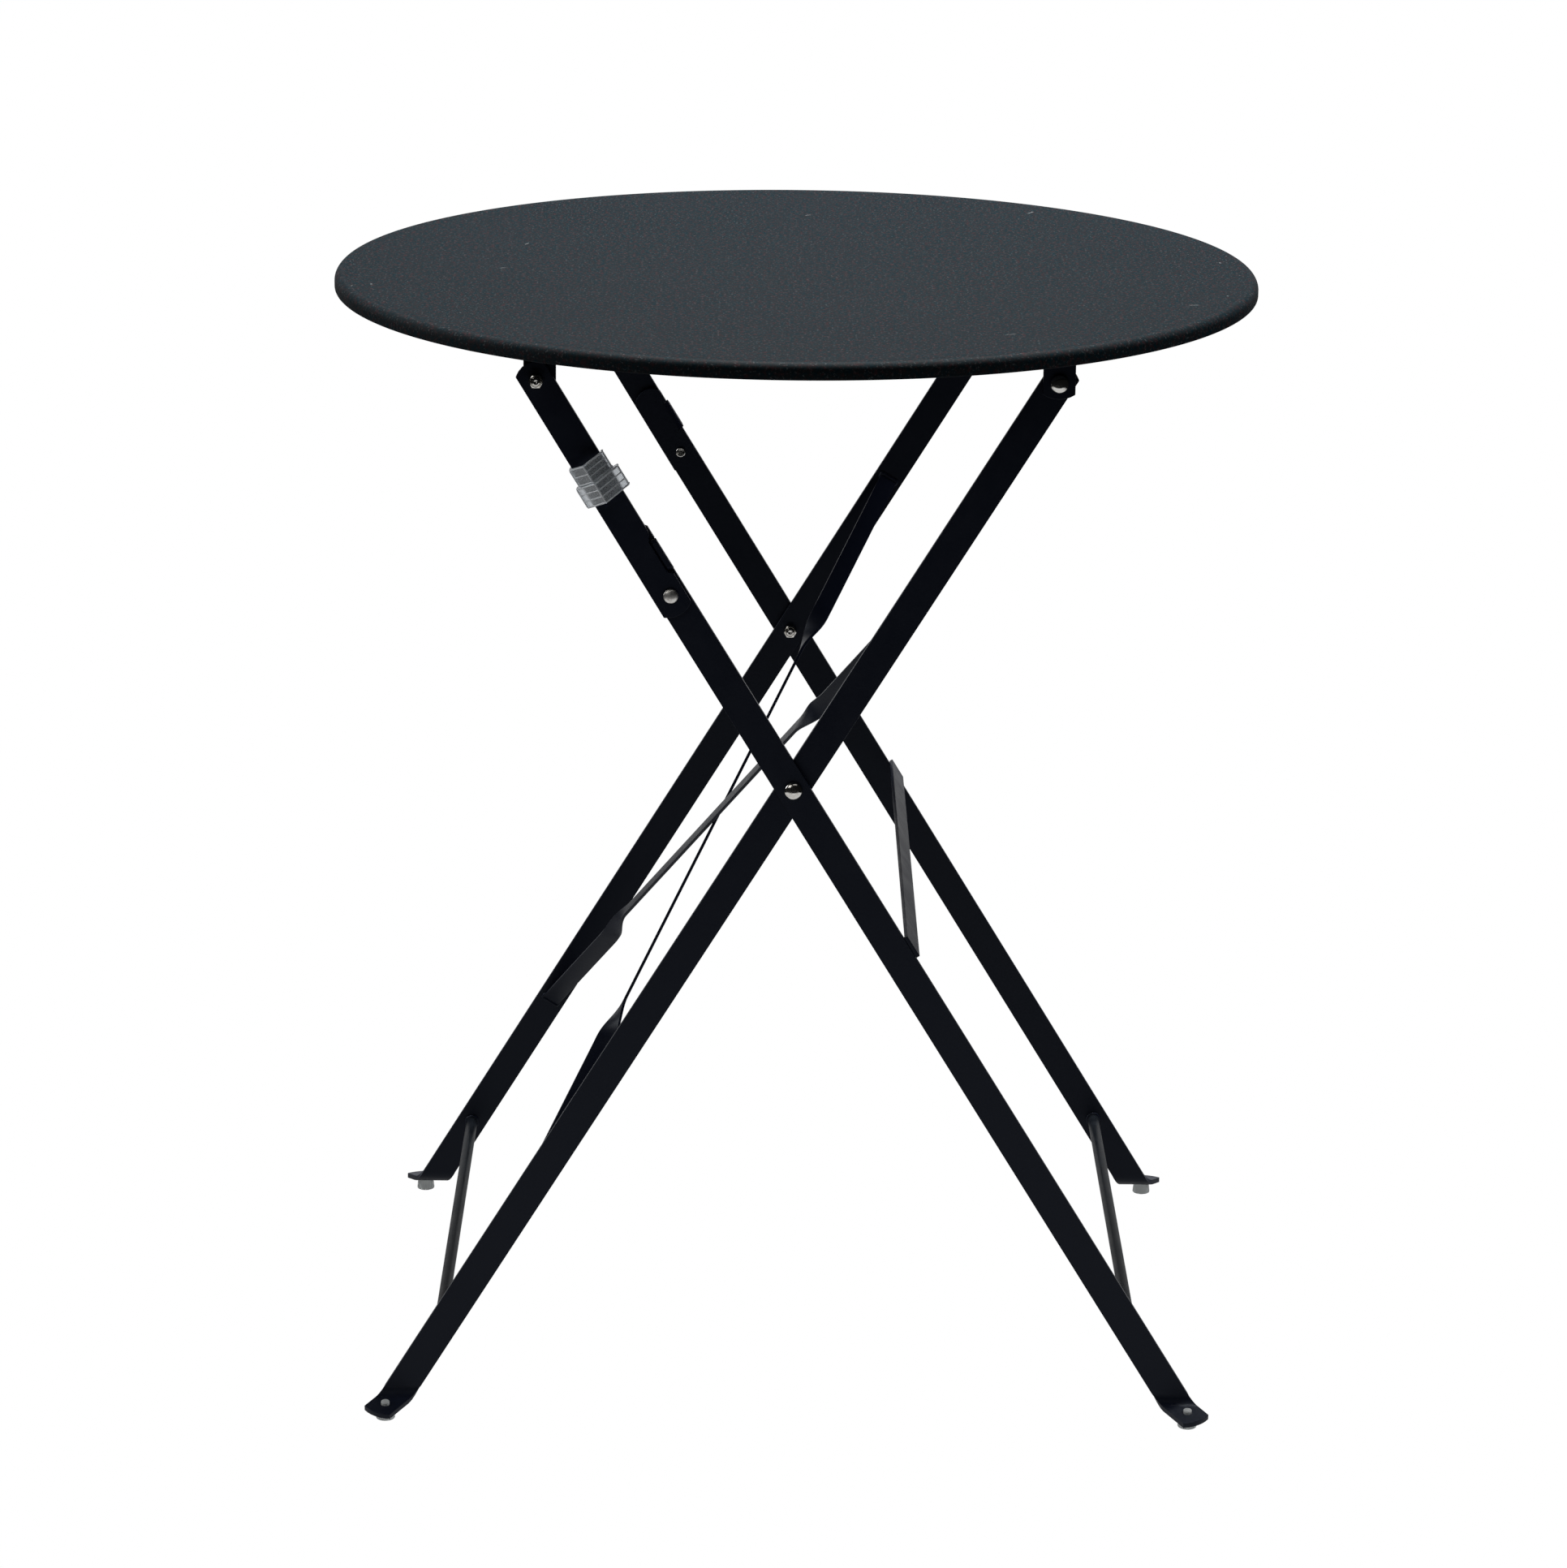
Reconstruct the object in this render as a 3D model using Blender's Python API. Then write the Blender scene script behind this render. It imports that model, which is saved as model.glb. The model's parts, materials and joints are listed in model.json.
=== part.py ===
"""Folding round bistro table: pressed steel top on two crossed frames of flat bar.

Metres, +Z up. X runs along the fold, -Y is the near side. The origin is on the floor under the
middle of the top. The inner frame stands still here, and the other assemblies hang from empties
on their hinges.
"""
import math

import bmesh
import bpy
from mathutils import Vector

# Overall size
TOP_DIAMETER = 0.600
TABLE_HEIGHT = 0.722

# Fold linkage, in the X-Z plane
PIVOT_SPAN = 0.322        # between the two hinge pins under the top
PIVOT_HEIGHT = 0.690
CROSS_HEIGHT = 0.427      # bolt where the two frames cross
FOLD_SLACK = 0.003        # link length short of a dead flat fold

# Flat bar
BAR_WIDTH = 0.020
BAR_THICK = 0.0035
END_BULGE = 0.0035        # height of the rounded bar ends
GAP = 0.0003              # between pieces that touch

# Layers, as distances from the middle plane
INNER_LAYER = 0.195
OUTER_LAYER = INNER_LAYER + BAR_THICK + GAP
LINK_LAYER = OUTER_LAYER + BAR_THICK + GAP

# Tabletop pressing
SHEET = 0.0015
RIM_DEPTH = 0.0105
RIM_ROLL = 0.006
HEM_THICK = 0.0025

# Overlap of each bar past its pin
INNER_LEG_OVERLAP = 0.0075
LINK_TOP_OVERLAP = 0.008
LINK_ELBOW_OVERLAP = 0.010
LINK_LEAN = 0.0010        # how far the link's middle is off the rivet, with none at its pin
OUTER_LEG_OVERLAP = 0.0445
OUTER_LEG_BULGE = 0.0055  # rounder than the rest, to pass under the top as the table folds
TAB_OVERLAP = 0.007
TAB_BULGE = 0.003

# Feet: the end of each leg is bent outwards and slopes down to its tip
FOOT_BEND = 0.0085        # radius to the middle of the bar
FOOT_TURN = math.radians(80)
FOOT_REACH = 0.0210       # from the leg's plane to the corners of the tip
FOOT_PEG_REACH = 0.0130
FOOT_BULGE = 0.0024
GLIDE_RADIUS = 0.0062
GLIDE_FLARE = 0.0006
GLIDE_THICK = 0.0065      # under the middle of the peg
PEG_RADIUS = 0.0028
PEG_PROUD = 0.0018

# Stop lug on the outer legs, measured from the elbow rivet. It stands in a notch of the link.
LUG_START = 0.0142
LUG_LENGTH = 0.0215
LUG_BEND = 0.0021
LUG_CORNER = 0.002
LUG_PROUD = 0.0008        # past the leg's edge
LUG_SLIT = 0.0003
NOTCH_FOOT = 0.0024       # slants of the notch's ends, for the lug's path as the link folds
NOTCH_HEAD = 0.0060

# Brackets under the top
BRACKET_BEND = 0.005
LINK_BRACKET_SHIFT = 0.002    # middle of the link side's bracket, off its pins

# Braces, measured down the legs from the cross bolt
BRACE_WIDTH = 0.0122
BRACE_THICK = 0.002
BRACE_TOP = -0.129
BRACE_BOTTOM = 0.324
BRACE_PLAIN = 0.108       # from a weld end to the start of the twist
BRACE_TWIST = 0.046
FRONT_BRACE_LAP = -0.0037     # off the legs' middle plane where the braces cross
BACK_BRACE_LAP = -0.0003
FRONT_BRACE_TURN = math.radians(90)
BACK_BRACE_TURN = math.radians(99.5)
CROSSBAR_DROP = 0.128
CROSSBAR_WIDTH = 0.0155
CROSSBAR_THICK = 0.0025
ROD_RADIUS = 0.004
INNER_ROD_DROP = 0.434
OUTER_ROD_DROP = 0.4285

# Fasteners
SHANK_RADIUS = 0.0025
HEAD_RADIUS = 0.0057
HEAD_HEIGHT = 0.0034
NUT_FLATS = 0.008
NUT_THICK = 0.0045
NUT_CHAMFER = 0.0006
THREAD_PROUD = 0.0008
RIVET_RADIUS = 0.0023
RIVET_HEAD_RADIUS = 0.0047
RIVET_HEAD_HEIGHT = 0.0024
RIVET_ROLL_RADIUS = 0.0034
RIVET_ROLL_HEIGHT = 0.0012

# Storage clip on the near link, measured from the link's pin
CLIP_DROP = 0.0585
CLIP_UPPER = 0.0125       # length of its narrow upper half
CLIP_LOWER = 0.0145       # length of its wide lower half
CLIP_WALL = 0.0011
CLIP_HOOK = 0.006
CLIP_SHOULDER = 0.0012    # height of its side walls above the link
CLIP_UPPER_SECTION = {"left": -0.0120, "right": 0.0116, "ridge": -0.0017, "peak": 0.0130, "hooked": True}
CLIP_LOWER_SECTION = {"left": -0.0145, "right": 0.0150, "ridge": -0.0010, "peak": 0.0160, "hooked": False}

# Mesh detail
EMPTY_SIZE = 0.02
TWIST_STEPS = 10
DOME_STEPS = 3
DOME_REACH = math.radians(80)
BEND_STEPS = 5
ROUND_STEPS = 18
TOP_STEPS = 96
ROLL_STEPS = 6
HEM_STEPS = 4
END_STEPS = 6
CUT_DISTANCE = 1e-7
SMOOTH_ANGLE = math.radians(32)

FINISHES = {
    "top_coat": ((0.055, 0.065, 0.070, 1.0), 0.50, 0.0),
    "leg_coat": ((0.012, 0.013, 0.017, 1.0), 0.48, 0.0),
    "steel": ((0.72, 0.71, 0.69, 1.0), 0.22, 1.0),
    "glide": ((0.82, 0.84, 0.85, 1.0), 0.35, 0.0),
    "clear": ((0.80, 0.82, 0.84, 1.0), 0.18, 0.0),
}

# Points of the linkage
CROSS = Vector((0.0, 0.0, CROSS_HEIGHT))
PIN_LINK = Vector((-PIVOT_SPAN / 2, 0.0, PIVOT_HEIGHT))
PIN_LEG = Vector((PIVOT_SPAN / 2, 0.0, PIVOT_HEIGHT))
LEG_REACH = (PIN_LEG - CROSS).length
ELBOW_REACH = LEG_REACH - (PIVOT_SPAN - FOLD_SLACK) / 2
OUTER_UP = (PIN_LINK - CROSS).normalized()
INNER_UP = (PIN_LEG - CROSS).normalized()
OUTER_ACROSS = Vector((OUTER_UP.z, 0.0, -OUTER_UP.x))
INNER_ACROSS = Vector((INNER_UP.z, 0.0, -INNER_UP.x))
ELBOW = CROSS + OUTER_UP * ELBOW_REACH

HALF = BAR_WIDTH / 2
HOLE_RADIUS = SHANK_RADIUS + GAP
SIDES = {"near": -1, "far": 1}

# Side view of a foot: heights of the bar's middle at the peg and where the bend starts
FOOT_SIN, FOOT_COS = math.sin(FOOT_TURN), math.cos(FOOT_TURN)
PEG_RUN = (FOOT_PEG_REACH - FOOT_BEND * (1 - FOOT_COS)) / FOOT_SIN
TIP_RUN = (FOOT_REACH - FOOT_BEND * (1 - FOOT_COS)) / FOOT_SIN
PEG_HEIGHT = GLIDE_THICK + (GAP + BAR_THICK / 2) * FOOT_SIN
FOOT_BEND_START = PEG_HEIGHT + PEG_RUN * FOOT_COS + FOOT_BEND * FOOT_SIN


def clear_scene():
    for obj in list(bpy.data.objects):
        bpy.data.objects.remove(obj, do_unlink=True)


def add_empty(name, location, parent=None):
    """An empty on a hinge, given in world coordinates."""
    empty = bpy.data.objects.new(name, None)
    empty.empty_display_size = EMPTY_SIZE
    bpy.context.scene.collection.objects.link(empty)
    empty.parent = parent
    empty.location = location - parent.matrix_world.translation if parent else location
    bpy.context.view_layer.update()
    return empty


def add_object(name, finish, bm, hinge):
    """Turn a bmesh in world coordinates into an object hanging from its hinge's empty."""
    bmesh.ops.translate(bm, verts=bm.verts, vec=-hinge.matrix_world.translation)
    bmesh.ops.recalc_face_normals(bm, faces=bm.faces)
    mesh = bpy.data.meshes.new(name)
    bm.to_mesh(mesh)
    bm.free()
    mesh.shade_smooth()
    mesh.set_sharp_from_angle(angle=SMOOTH_ANGLE)
    colour, roughness, metallic = FINISHES[finish]
    material = bpy.data.materials.new(name + "_" + finish)
    material.use_nodes = True
    shader = material.node_tree.nodes["Principled BSDF"]
    shader.inputs["Base Color"].default_value = colour
    shader.inputs["Roughness"].default_value = roughness
    shader.inputs["Metallic"].default_value = metallic
    material.diffuse_color = colour
    mesh.materials.append(material)
    obj = bpy.data.objects.new(name, mesh)
    obj.parent = hinge
    bpy.context.scene.collection.objects.link(obj)
    return obj


def bulged_end(reach, half, bulge, sign):
    """The rounded end of a strip, as (along, across) points from one corner to the other."""
    radius = (half * half + bulge * bulge) / (2 * bulge)
    spread = math.asin(half / radius)
    points = []
    for step in range(END_STEPS + 1):
        angle = spread * (2 * step / END_STEPS - 1)
        along = reach + bulge - radius + radius * math.cos(angle)
        points.append((sign * along, sign * radius * math.sin(angle)))
    return points


def hole_points(along, across, radius):
    angles = [2 * math.pi * step / ROUND_STEPS for step in range(ROUND_STEPS)]
    return [(along + radius * math.cos(a), across + radius * math.sin(a)) for a in angles]


def flat_plate(origin, along, across, normal, outline, holes, thick):
    """A flat plate with holes. Outline and holes are (along, across) points from the origin."""
    bm = bmesh.new()
    edges = []
    for loop in [outline] + holes:
        base = origin - normal * (thick / 2)
        verts = [bm.verts.new(base + along * u + across * v) for u, v in loop]
        for vert, following in zip(verts, verts[1:] + verts[:1]):
            edges.append(bm.edges.new((vert, following)))
    filled = bmesh.ops.triangle_fill(bm, use_beauty=True, use_dissolve=False, edges=edges, normal=normal)
    faces = [item for item in filled["geom"] if isinstance(item, bmesh.types.BMFace)]
    raised = bmesh.ops.extrude_face_region(bm, geom=faces)["geom"]
    top = [item for item in raised if isinstance(item, bmesh.types.BMVert)]
    bmesh.ops.translate(bm, verts=top, vec=normal * thick)
    return bm


def fold_plate(bm, start, along, toward, radius, turn=math.pi / 2, between=None):
    """Bend a plate about the line through start, towards a direction.

    Between is (direction, lowest, highest), and leaves the plate flat outside that stretch.
    """
    bend = radius * turn
    for step in range(BEND_STEPS + 1):
        cut = start + along * (bend * step / BEND_STEPS)
        everything = bm.verts[:] + bm.edges[:] + bm.faces[:]
        bmesh.ops.bisect_plane(bm, geom=everything, dist=CUT_DISTANCE, plane_co=cut, plane_no=along)
    for vert in bm.verts:
        length = (vert.co - start).dot(along)
        if length <= 0:
            continue
        if between and not between[1] <= (vert.co - start).dot(between[0]) <= between[2]:
            continue
        offset = (vert.co - start).dot(toward)
        angle = min(length / radius, turn)
        extra = max(length - bend, 0.0)
        vert.co -= along * length + toward * offset
        vert.co += along * ((radius - offset) * math.sin(angle) + extra * math.cos(turn))
        vert.co += toward * (radius - (radius - offset) * math.cos(angle) + extra * math.sin(turn))


def loft(rings, capped=True):
    """A closed body through rings that all have the same number of points."""
    bm = bmesh.new()
    loops = [[bm.verts.new(point) for point in ring] for ring in rings]
    count = len(loops[0])
    pairs = list(zip(loops, loops[1:]))
    if capped:
        bm.faces.new(reversed(loops[0]))
        bm.faces.new(loops[-1])
    else:
        pairs.append((loops[-1], loops[0]))
    for lower, upper in pairs:
        for i in range(count):
            j = (i + 1) % count
            bm.faces.new((lower[i], lower[j], upper[j], upper[i]))
    return bm


def turned_ring(base, axis, height, radius, steps, hexagonal):
    """One ring around an axis. A hexagonal ring's radius is half its width across flats."""
    side = Vector((1.0, 0.0, 0.0))
    other = axis.cross(side)
    points = []
    for step in range(steps):
        angle = 2 * math.pi * step / steps
        reach = radius
        if hexagonal:
            reach = radius / math.cos(angle % (math.pi / 3) - math.pi / 6)
        direction = side * math.cos(angle) + other * math.sin(angle)
        points.append(base + axis * height + direction * reach)
    return points


def turned(base, axis, profile, steps=ROUND_STEPS, capped=True):
    """A turned body from (height, radius) or (height, radius, True) for a hexagon."""
    rings = [turned_ring(base, axis, row[0], row[1], steps, len(row) > 2) for row in profile]
    return loft(rings, capped)


def arc_profile(centre, radius, start, end, steps):
    """Points of an arc, as (height, radius) pairs, with angles from the axis's normal."""
    points = []
    for step in range(steps + 1):
        angle = math.radians(start + (end - start) * step / steps)
        points.append((centre[0] + radius * math.sin(angle), centre[1] + radius * math.cos(angle)))
    return points


def make_tabletop(hinge):
    """Pressed sheet with a rolled edge, a short skirt and a folded hem, turned as one shell."""
    edge = TOP_DIAMETER / 2
    inner_roll = RIM_ROLL - SHEET
    hem = HEM_THICK / 2
    skirt = -RIM_DEPTH + hem
    roll_centre = (-RIM_ROLL, edge - RIM_ROLL)
    profile = arc_profile(roll_centre, inner_roll, 90, 0, ROLL_STEPS // 2)
    profile += [(skirt + hem, edge - HEM_THICK)]
    profile += arc_profile((skirt, edge - hem), hem, -180, 0, HEM_STEPS)
    profile += arc_profile(roll_centre, RIM_ROLL, 0, 90, ROLL_STEPS)
    bm = turned(Vector((0.0, 0.0, TABLE_HEIGHT)), Vector((0.0, 0.0, 1.0)), profile, TOP_STEPS)
    return add_object("tabletop", "top_coat", bm, hinge)


def make_bracket(name, pin, shift, hinge):
    """A strap across the underside of the top, with both ends bent down into hinge tabs."""
    level = TABLE_HEIGHT - SHEET - GAP - BAR_THICK / 2
    flat = OUTER_LAYER - BRACKET_BEND
    pin_reach = flat + BRACKET_BEND * math.pi / 2 + level - BRACKET_BEND - PIVOT_HEIGHT
    origin = Vector((pin.x, 0.0, level))
    across = Vector((1.0, 0.0, 0.0))
    outward = Vector((0.0, 1.0, 0.0))
    down = Vector((0.0, 0.0, -1.0))
    outline = bulged_end(pin_reach + TAB_OVERLAP, HALF, TAB_BULGE, 1)
    outline += bulged_end(pin_reach + TAB_OVERLAP, HALF, TAB_BULGE, -1)
    outline = [(u, v + shift) for u, v in outline]
    holes = [hole_points(side * pin_reach, 0.0, HOLE_RADIUS) for side in SIDES.values()]
    bm = flat_plate(origin, outward, across, -down, outline, holes, BAR_THICK)
    for side in SIDES.values():
        fold_plate(bm, origin + outward * (side * flat), outward * side, down, BRACKET_BEND)
    return add_object(name, "leg_coat", bm, hinge)


def foot_length(up):
    """Length of a leg along its bar, from the cross bolt to the corners of the unbent foot."""
    return (CROSS_HEIGHT - FOOT_BEND_START + FOOT_BEND * FOOT_TURN + TIP_RUN) / up.z


def foot_peg_length(up):
    """Length of a leg along its bar, from the cross bolt to the peg hole of the unbent foot."""
    return (CROSS_HEIGHT - FOOT_BEND_START + FOOT_BEND * FOOT_TURN + PEG_RUN) / up.z


def bend_foot(bm, side, layer):
    start = Vector((0.0, side * layer, FOOT_BEND_START))
    down = Vector((0.0, 0.0, -1.0))
    outward = Vector((0.0, side, 0.0))
    fold_plate(bm, start, down, outward, FOOT_BEND, FOOT_TURN)


def make_inner_leg(name, side, hinge):
    """Straight leg of the inner frame, from its tab down to the bent foot."""
    outline = bulged_end(LEG_REACH + INNER_LEG_OVERLAP, HALF, END_BULGE, 1)
    outline += bulged_end(foot_length(INNER_UP), HALF, FOOT_BULGE, -1)
    holes = [hole_points(LEG_REACH, 0.0, HOLE_RADIUS), hole_points(0.0, 0.0, HOLE_RADIUS)]
    holes.append(hole_points(-foot_peg_length(INNER_UP), 0.0, PEG_RADIUS + GAP))
    origin = CROSS + Vector((0.0, side * INNER_LAYER, 0.0))
    normal = Vector((0.0, 1.0, 0.0))
    bm = flat_plate(origin, INNER_UP, INNER_ACROSS, normal, outline, holes, BAR_THICK)
    bend_foot(bm, side, INNER_LAYER)
    return add_object(name, "leg_coat", bm, hinge)


def lug_fold():
    """Distance across the outer leg at which its stop lug starts to bend."""
    return HALF + LUG_PROUD - LUG_BEND - BAR_THICK / 2


def lug_points():
    """The unbent stop lug between its two slits, as (along, across) points going down the leg."""
    top = ELBOW_REACH + LUG_START + LUG_LENGTH
    bottom = ELBOW_REACH + LUG_START
    fold = lug_fold()
    reach = fold + LUG_BEND * math.pi / 2 + (LINK_LAYER - OUTER_LAYER) + BAR_THICK / 2 - LUG_BEND
    points = [(top + LUG_SLIT, HALF), (top + LUG_SLIT, fold), (top, fold)]
    points += [(top, reach - LUG_CORNER), (top - LUG_CORNER, reach)]
    points += [(bottom + LUG_CORNER, reach), (bottom, reach - LUG_CORNER)]
    points += [(bottom, fold), (bottom - LUG_SLIT, fold), (bottom - LUG_SLIT, HALF)]
    return points


def notch_points():
    """The notch for the stop lug in the link's edge, as (along, across) points going up the link."""
    depth = lug_fold() + LUG_BEND - BAR_THICK / 2 - GAP
    top = LUG_START + LUG_LENGTH + GAP
    bottom = LUG_START - GAP
    return [(bottom - NOTCH_FOOT, HALF), (bottom, depth), (top, depth), (top + NOTCH_HEAD, HALF)]


def make_outer_leg(name, side, hinge):
    """Leg of the outer frame, with the stop lug near its top end and the bent foot."""
    outline = bulged_end(ELBOW_REACH + OUTER_LEG_OVERLAP, HALF, OUTER_LEG_BULGE, 1)
    outline += lug_points()
    outline += [(-u, v) for u, v in reversed(bulged_end(foot_length(OUTER_UP), HALF, FOOT_BULGE, 1))]
    holes = [hole_points(ELBOW_REACH, 0.0, RIVET_RADIUS + GAP), hole_points(0.0, 0.0, HOLE_RADIUS)]
    holes.append(hole_points(-foot_peg_length(OUTER_UP), 0.0, PEG_RADIUS + GAP))
    origin = CROSS + Vector((0.0, side * OUTER_LAYER, 0.0))
    normal = Vector((0.0, 1.0, 0.0))
    bm = flat_plate(origin, OUTER_UP, OUTER_ACROSS, normal, outline, holes, BAR_THICK)
    bottom = ELBOW_REACH + LUG_START - LUG_SLIT / 2
    lug = (OUTER_UP, bottom, bottom + LUG_LENGTH + LUG_SLIT)
    fold_plate(bm, origin + OUTER_ACROSS * lug_fold(), OUTER_ACROSS, normal * side, LUG_BEND, between=lug)
    bend_foot(bm, side, OUTER_LAYER)
    return add_object(name, "leg_coat", bm, hinge)


def make_upper_link(name, side, hinge):
    """Short bar from the elbow rivet up to the link pin, outside the outer leg."""
    length = LEG_REACH - ELBOW_REACH
    outline = notch_points()
    outline += reversed(bulged_end(length + LINK_TOP_OVERLAP, HALF, END_BULGE, 1))
    outline += reversed(bulged_end(LINK_ELBOW_OVERLAP, HALF, END_BULGE, -1))
    outline = [(u, v - LINK_LEAN * (1 - u / length)) for u, v in outline]
    holes = [hole_points(length, 0.0, HOLE_RADIUS), hole_points(0.0, 0.0, RIVET_RADIUS + GAP)]
    origin = ELBOW + Vector((0.0, side * LINK_LAYER, 0.0))
    normal = Vector((0.0, 1.0, 0.0))
    bm = flat_plate(origin, OUTER_UP, OUTER_ACROSS, normal, outline, holes, BAR_THICK)
    return add_object(name, "leg_coat", bm, hinge)


def brace_ring(place, heading, reach, turn, lap):
    """Rectangular section of a brace, twisted and lapped by its distance from the welded end."""
    share = min(max((reach - BRACE_PLAIN) / BRACE_TWIST, 0.0), 1.0)
    share = share * share * (3 - 2 * share)
    flat = heading.cross(INNER_ACROSS).normalized()
    flat *= math.copysign(1.0, flat.y)
    angle = turn * share
    wide = (INNER_ACROSS * math.cos(angle) - flat * math.sin(angle)) * (BRACE_WIDTH / 2)
    thin = (flat * math.cos(angle) + INNER_ACROSS * math.sin(angle)) * (BRACE_THICK / 2)
    centre = place + INNER_ACROSS * (lap * share)
    return [centre + wide + thin, centre - wide + thin, centre - wide - thin, centre + wide - thin]


def flush_ring(ring, heading, depth):
    """Slide a brace's end section along its heading until it lies flat on the leg's inner face."""
    return [point + heading * ((depth - point.y) / heading.y) for point in ring]


def make_brace(name, upper_side, turn, lap, hinge):
    """Twisted strip from one inner leg, high up, to the other inner leg, low down."""
    depth = upper_side * (INNER_LAYER - BAR_THICK / 2 - GAP)
    upper = CROSS - INNER_UP * BRACE_TOP + Vector((0.0, depth, 0.0))
    lower = CROSS - INNER_UP * BRACE_BOTTOM - Vector((0.0, depth, 0.0))
    heading = (lower - upper).normalized()
    reaches = [BRACE_PLAIN + BRACE_TWIST * step / TWIST_STEPS for step in range(TWIST_STEPS + 1)]
    rings = [flush_ring(brace_ring(upper, heading, 0.0, turn, lap), heading, depth)]
    rings += [brace_ring(upper + heading * reach, heading, reach, turn, lap) for reach in reaches]
    for reach in reversed(reaches):
        rings.append(brace_ring(lower - heading * reach, heading, reach, turn, lap))
    rings.append(flush_ring(brace_ring(lower, heading, 0.0, turn, lap), heading, -depth))
    return add_object(name, "leg_coat", loft(rings), hinge)


def make_crossbar(hinge):
    """Flat strip across the upper edges of the two outer legs."""
    centre = CROSS - OUTER_UP * CROSSBAR_DROP + OUTER_ACROSS * (HALF + GAP + CROSSBAR_THICK / 2)
    reach = OUTER_LAYER + BAR_THICK / 2
    half = CROSSBAR_WIDTH / 2
    outline = [(reach, -half), (reach, half), (-reach, half), (-reach, -half)]
    bm = flat_plate(centre, Vector((0.0, 1.0, 0.0)), OUTER_UP, OUTER_ACROSS, outline, [], CROSSBAR_THICK)
    return add_object("outer_crossbar", "leg_coat", bm, hinge)


def make_rod(name, up, drop, layer, hinge):
    """Round rod between the inner faces of two legs, low down."""
    reach = layer - BAR_THICK / 2 - GAP
    profile = [(-reach, ROD_RADIUS), (reach, ROD_RADIUS)]
    bm = turned(CROSS - up * drop, Vector((0.0, 1.0, 0.0)), profile)
    return add_object(name, "leg_coat", bm, hinge)


def dome(height, radius, rise):
    """Rounded top of a head, as (height, radius) pairs."""
    angles = [DOME_REACH * step / DOME_STEPS for step in range(DOME_STEPS + 1)]
    return [(height + rise * math.sin(a), radius * math.cos(a)) for a in angles]


def make_bolt(name, pin, axis, tail, seat, hinge):
    """Dome-headed bolt. Tail and seat are heights along the axis from the pin's middle."""
    point = NUT_CHAMFER
    profile = [(tail, SHANK_RADIUS - point), (tail + point, SHANK_RADIUS), (seat, SHANK_RADIUS)]
    profile += [(seat, HEAD_RADIUS)] + dome(seat + point, HEAD_RADIUS, HEAD_HEIGHT - point)
    return add_object(name, "steel", turned(pin, axis, profile), hinge)


def nut_outside(seat):
    """Hexagon and chamfer of a nut standing on its seat."""
    flats = NUT_FLATS / 2
    top = seat + NUT_THICK
    return [(seat, flats, True), (top - NUT_CHAMFER, flats, True), (top, flats - NUT_CHAMFER)]


def make_nut(name, pin, axis, seat, hinge):
    """Hexagon nut with an open bore, standing on its seat along the axis."""
    bore = SHANK_RADIUS + GAP
    profile = [(seat, bore)] + nut_outside(seat) + [(seat + NUT_THICK, bore)]
    return add_object(name, "steel", turned(pin, axis, profile, capped=False), hinge)


def make_cross_fasteners(name, pin, side, hinge):
    """Bolt through an inner leg and the bar outside it, with its nut on the inner face."""
    outward = Vector((0.0, side, 0.0))
    inner_face = INNER_LAYER - BAR_THICK / 2 - GAP
    seat = OUTER_LAYER + BAR_THICK / 2 + GAP
    tail = inner_face - NUT_THICK - THREAD_PROUD
    where = "near" if side < 0 else "far"
    make_bolt(name + "_bolt_" + where, pin, outward, tail, seat, hinge)
    make_nut(name + "_nut_" + where, pin, -outward, -inner_face, hinge)


def make_link_fasteners(side, hinge):
    """Bolt through a bracket's tab and the link outside it, with its nut on the outer face."""
    outward = Vector((0.0, side, 0.0))
    seat = OUTER_LAYER - BAR_THICK / 2 - GAP
    nut_seat = LINK_LAYER + BAR_THICK / 2 + GAP
    tail = nut_seat + NUT_THICK + THREAD_PROUD
    where = "near" if side < 0 else "far"
    make_bolt("link_bolt_" + where, PIN_LINK, -outward, -tail, -seat, hinge)
    make_nut("link_nut_" + where, PIN_LINK, outward, nut_seat, hinge)


def make_rivet_head(name, side, hinge):
    """Domed outer half of the elbow rivet, with its stretch of shank in the link."""
    outward = Vector((0.0, side, 0.0))
    seat = LINK_LAYER + BAR_THICK / 2 + GAP
    profile = [(LINK_LAYER - BAR_THICK / 2, RIVET_RADIUS), (seat, RIVET_RADIUS)]
    profile.append((seat, RIVET_HEAD_RADIUS))
    profile += dome(seat + NUT_CHAMFER, RIVET_HEAD_RADIUS, RIVET_HEAD_HEIGHT - NUT_CHAMFER)
    add_object(name, "steel", turned(ELBOW, outward, profile), hinge)


def make_rivet_end(name, side, hinge):
    """Inner half of the elbow rivet: the shank in the outer leg and its rolled end."""
    outward = Vector((0.0, side, 0.0))
    inner = OUTER_LAYER - BAR_THICK / 2 - GAP
    roll = RIVET_ROLL_HEIGHT / 2
    profile = [(inner - roll, roll), (inner - 2 * roll, 2 * roll)]
    profile += [(inner - 2 * roll, RIVET_ROLL_RADIUS - roll), (inner - roll, RIVET_ROLL_RADIUS)]
    profile += [(inner, RIVET_ROLL_RADIUS - roll), (inner, RIVET_RADIUS)]
    profile += [(OUTER_LAYER + BAR_THICK / 2, RIVET_RADIUS)]
    add_object(name, "steel", turned(ELBOW, outward, profile), hinge)


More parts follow.
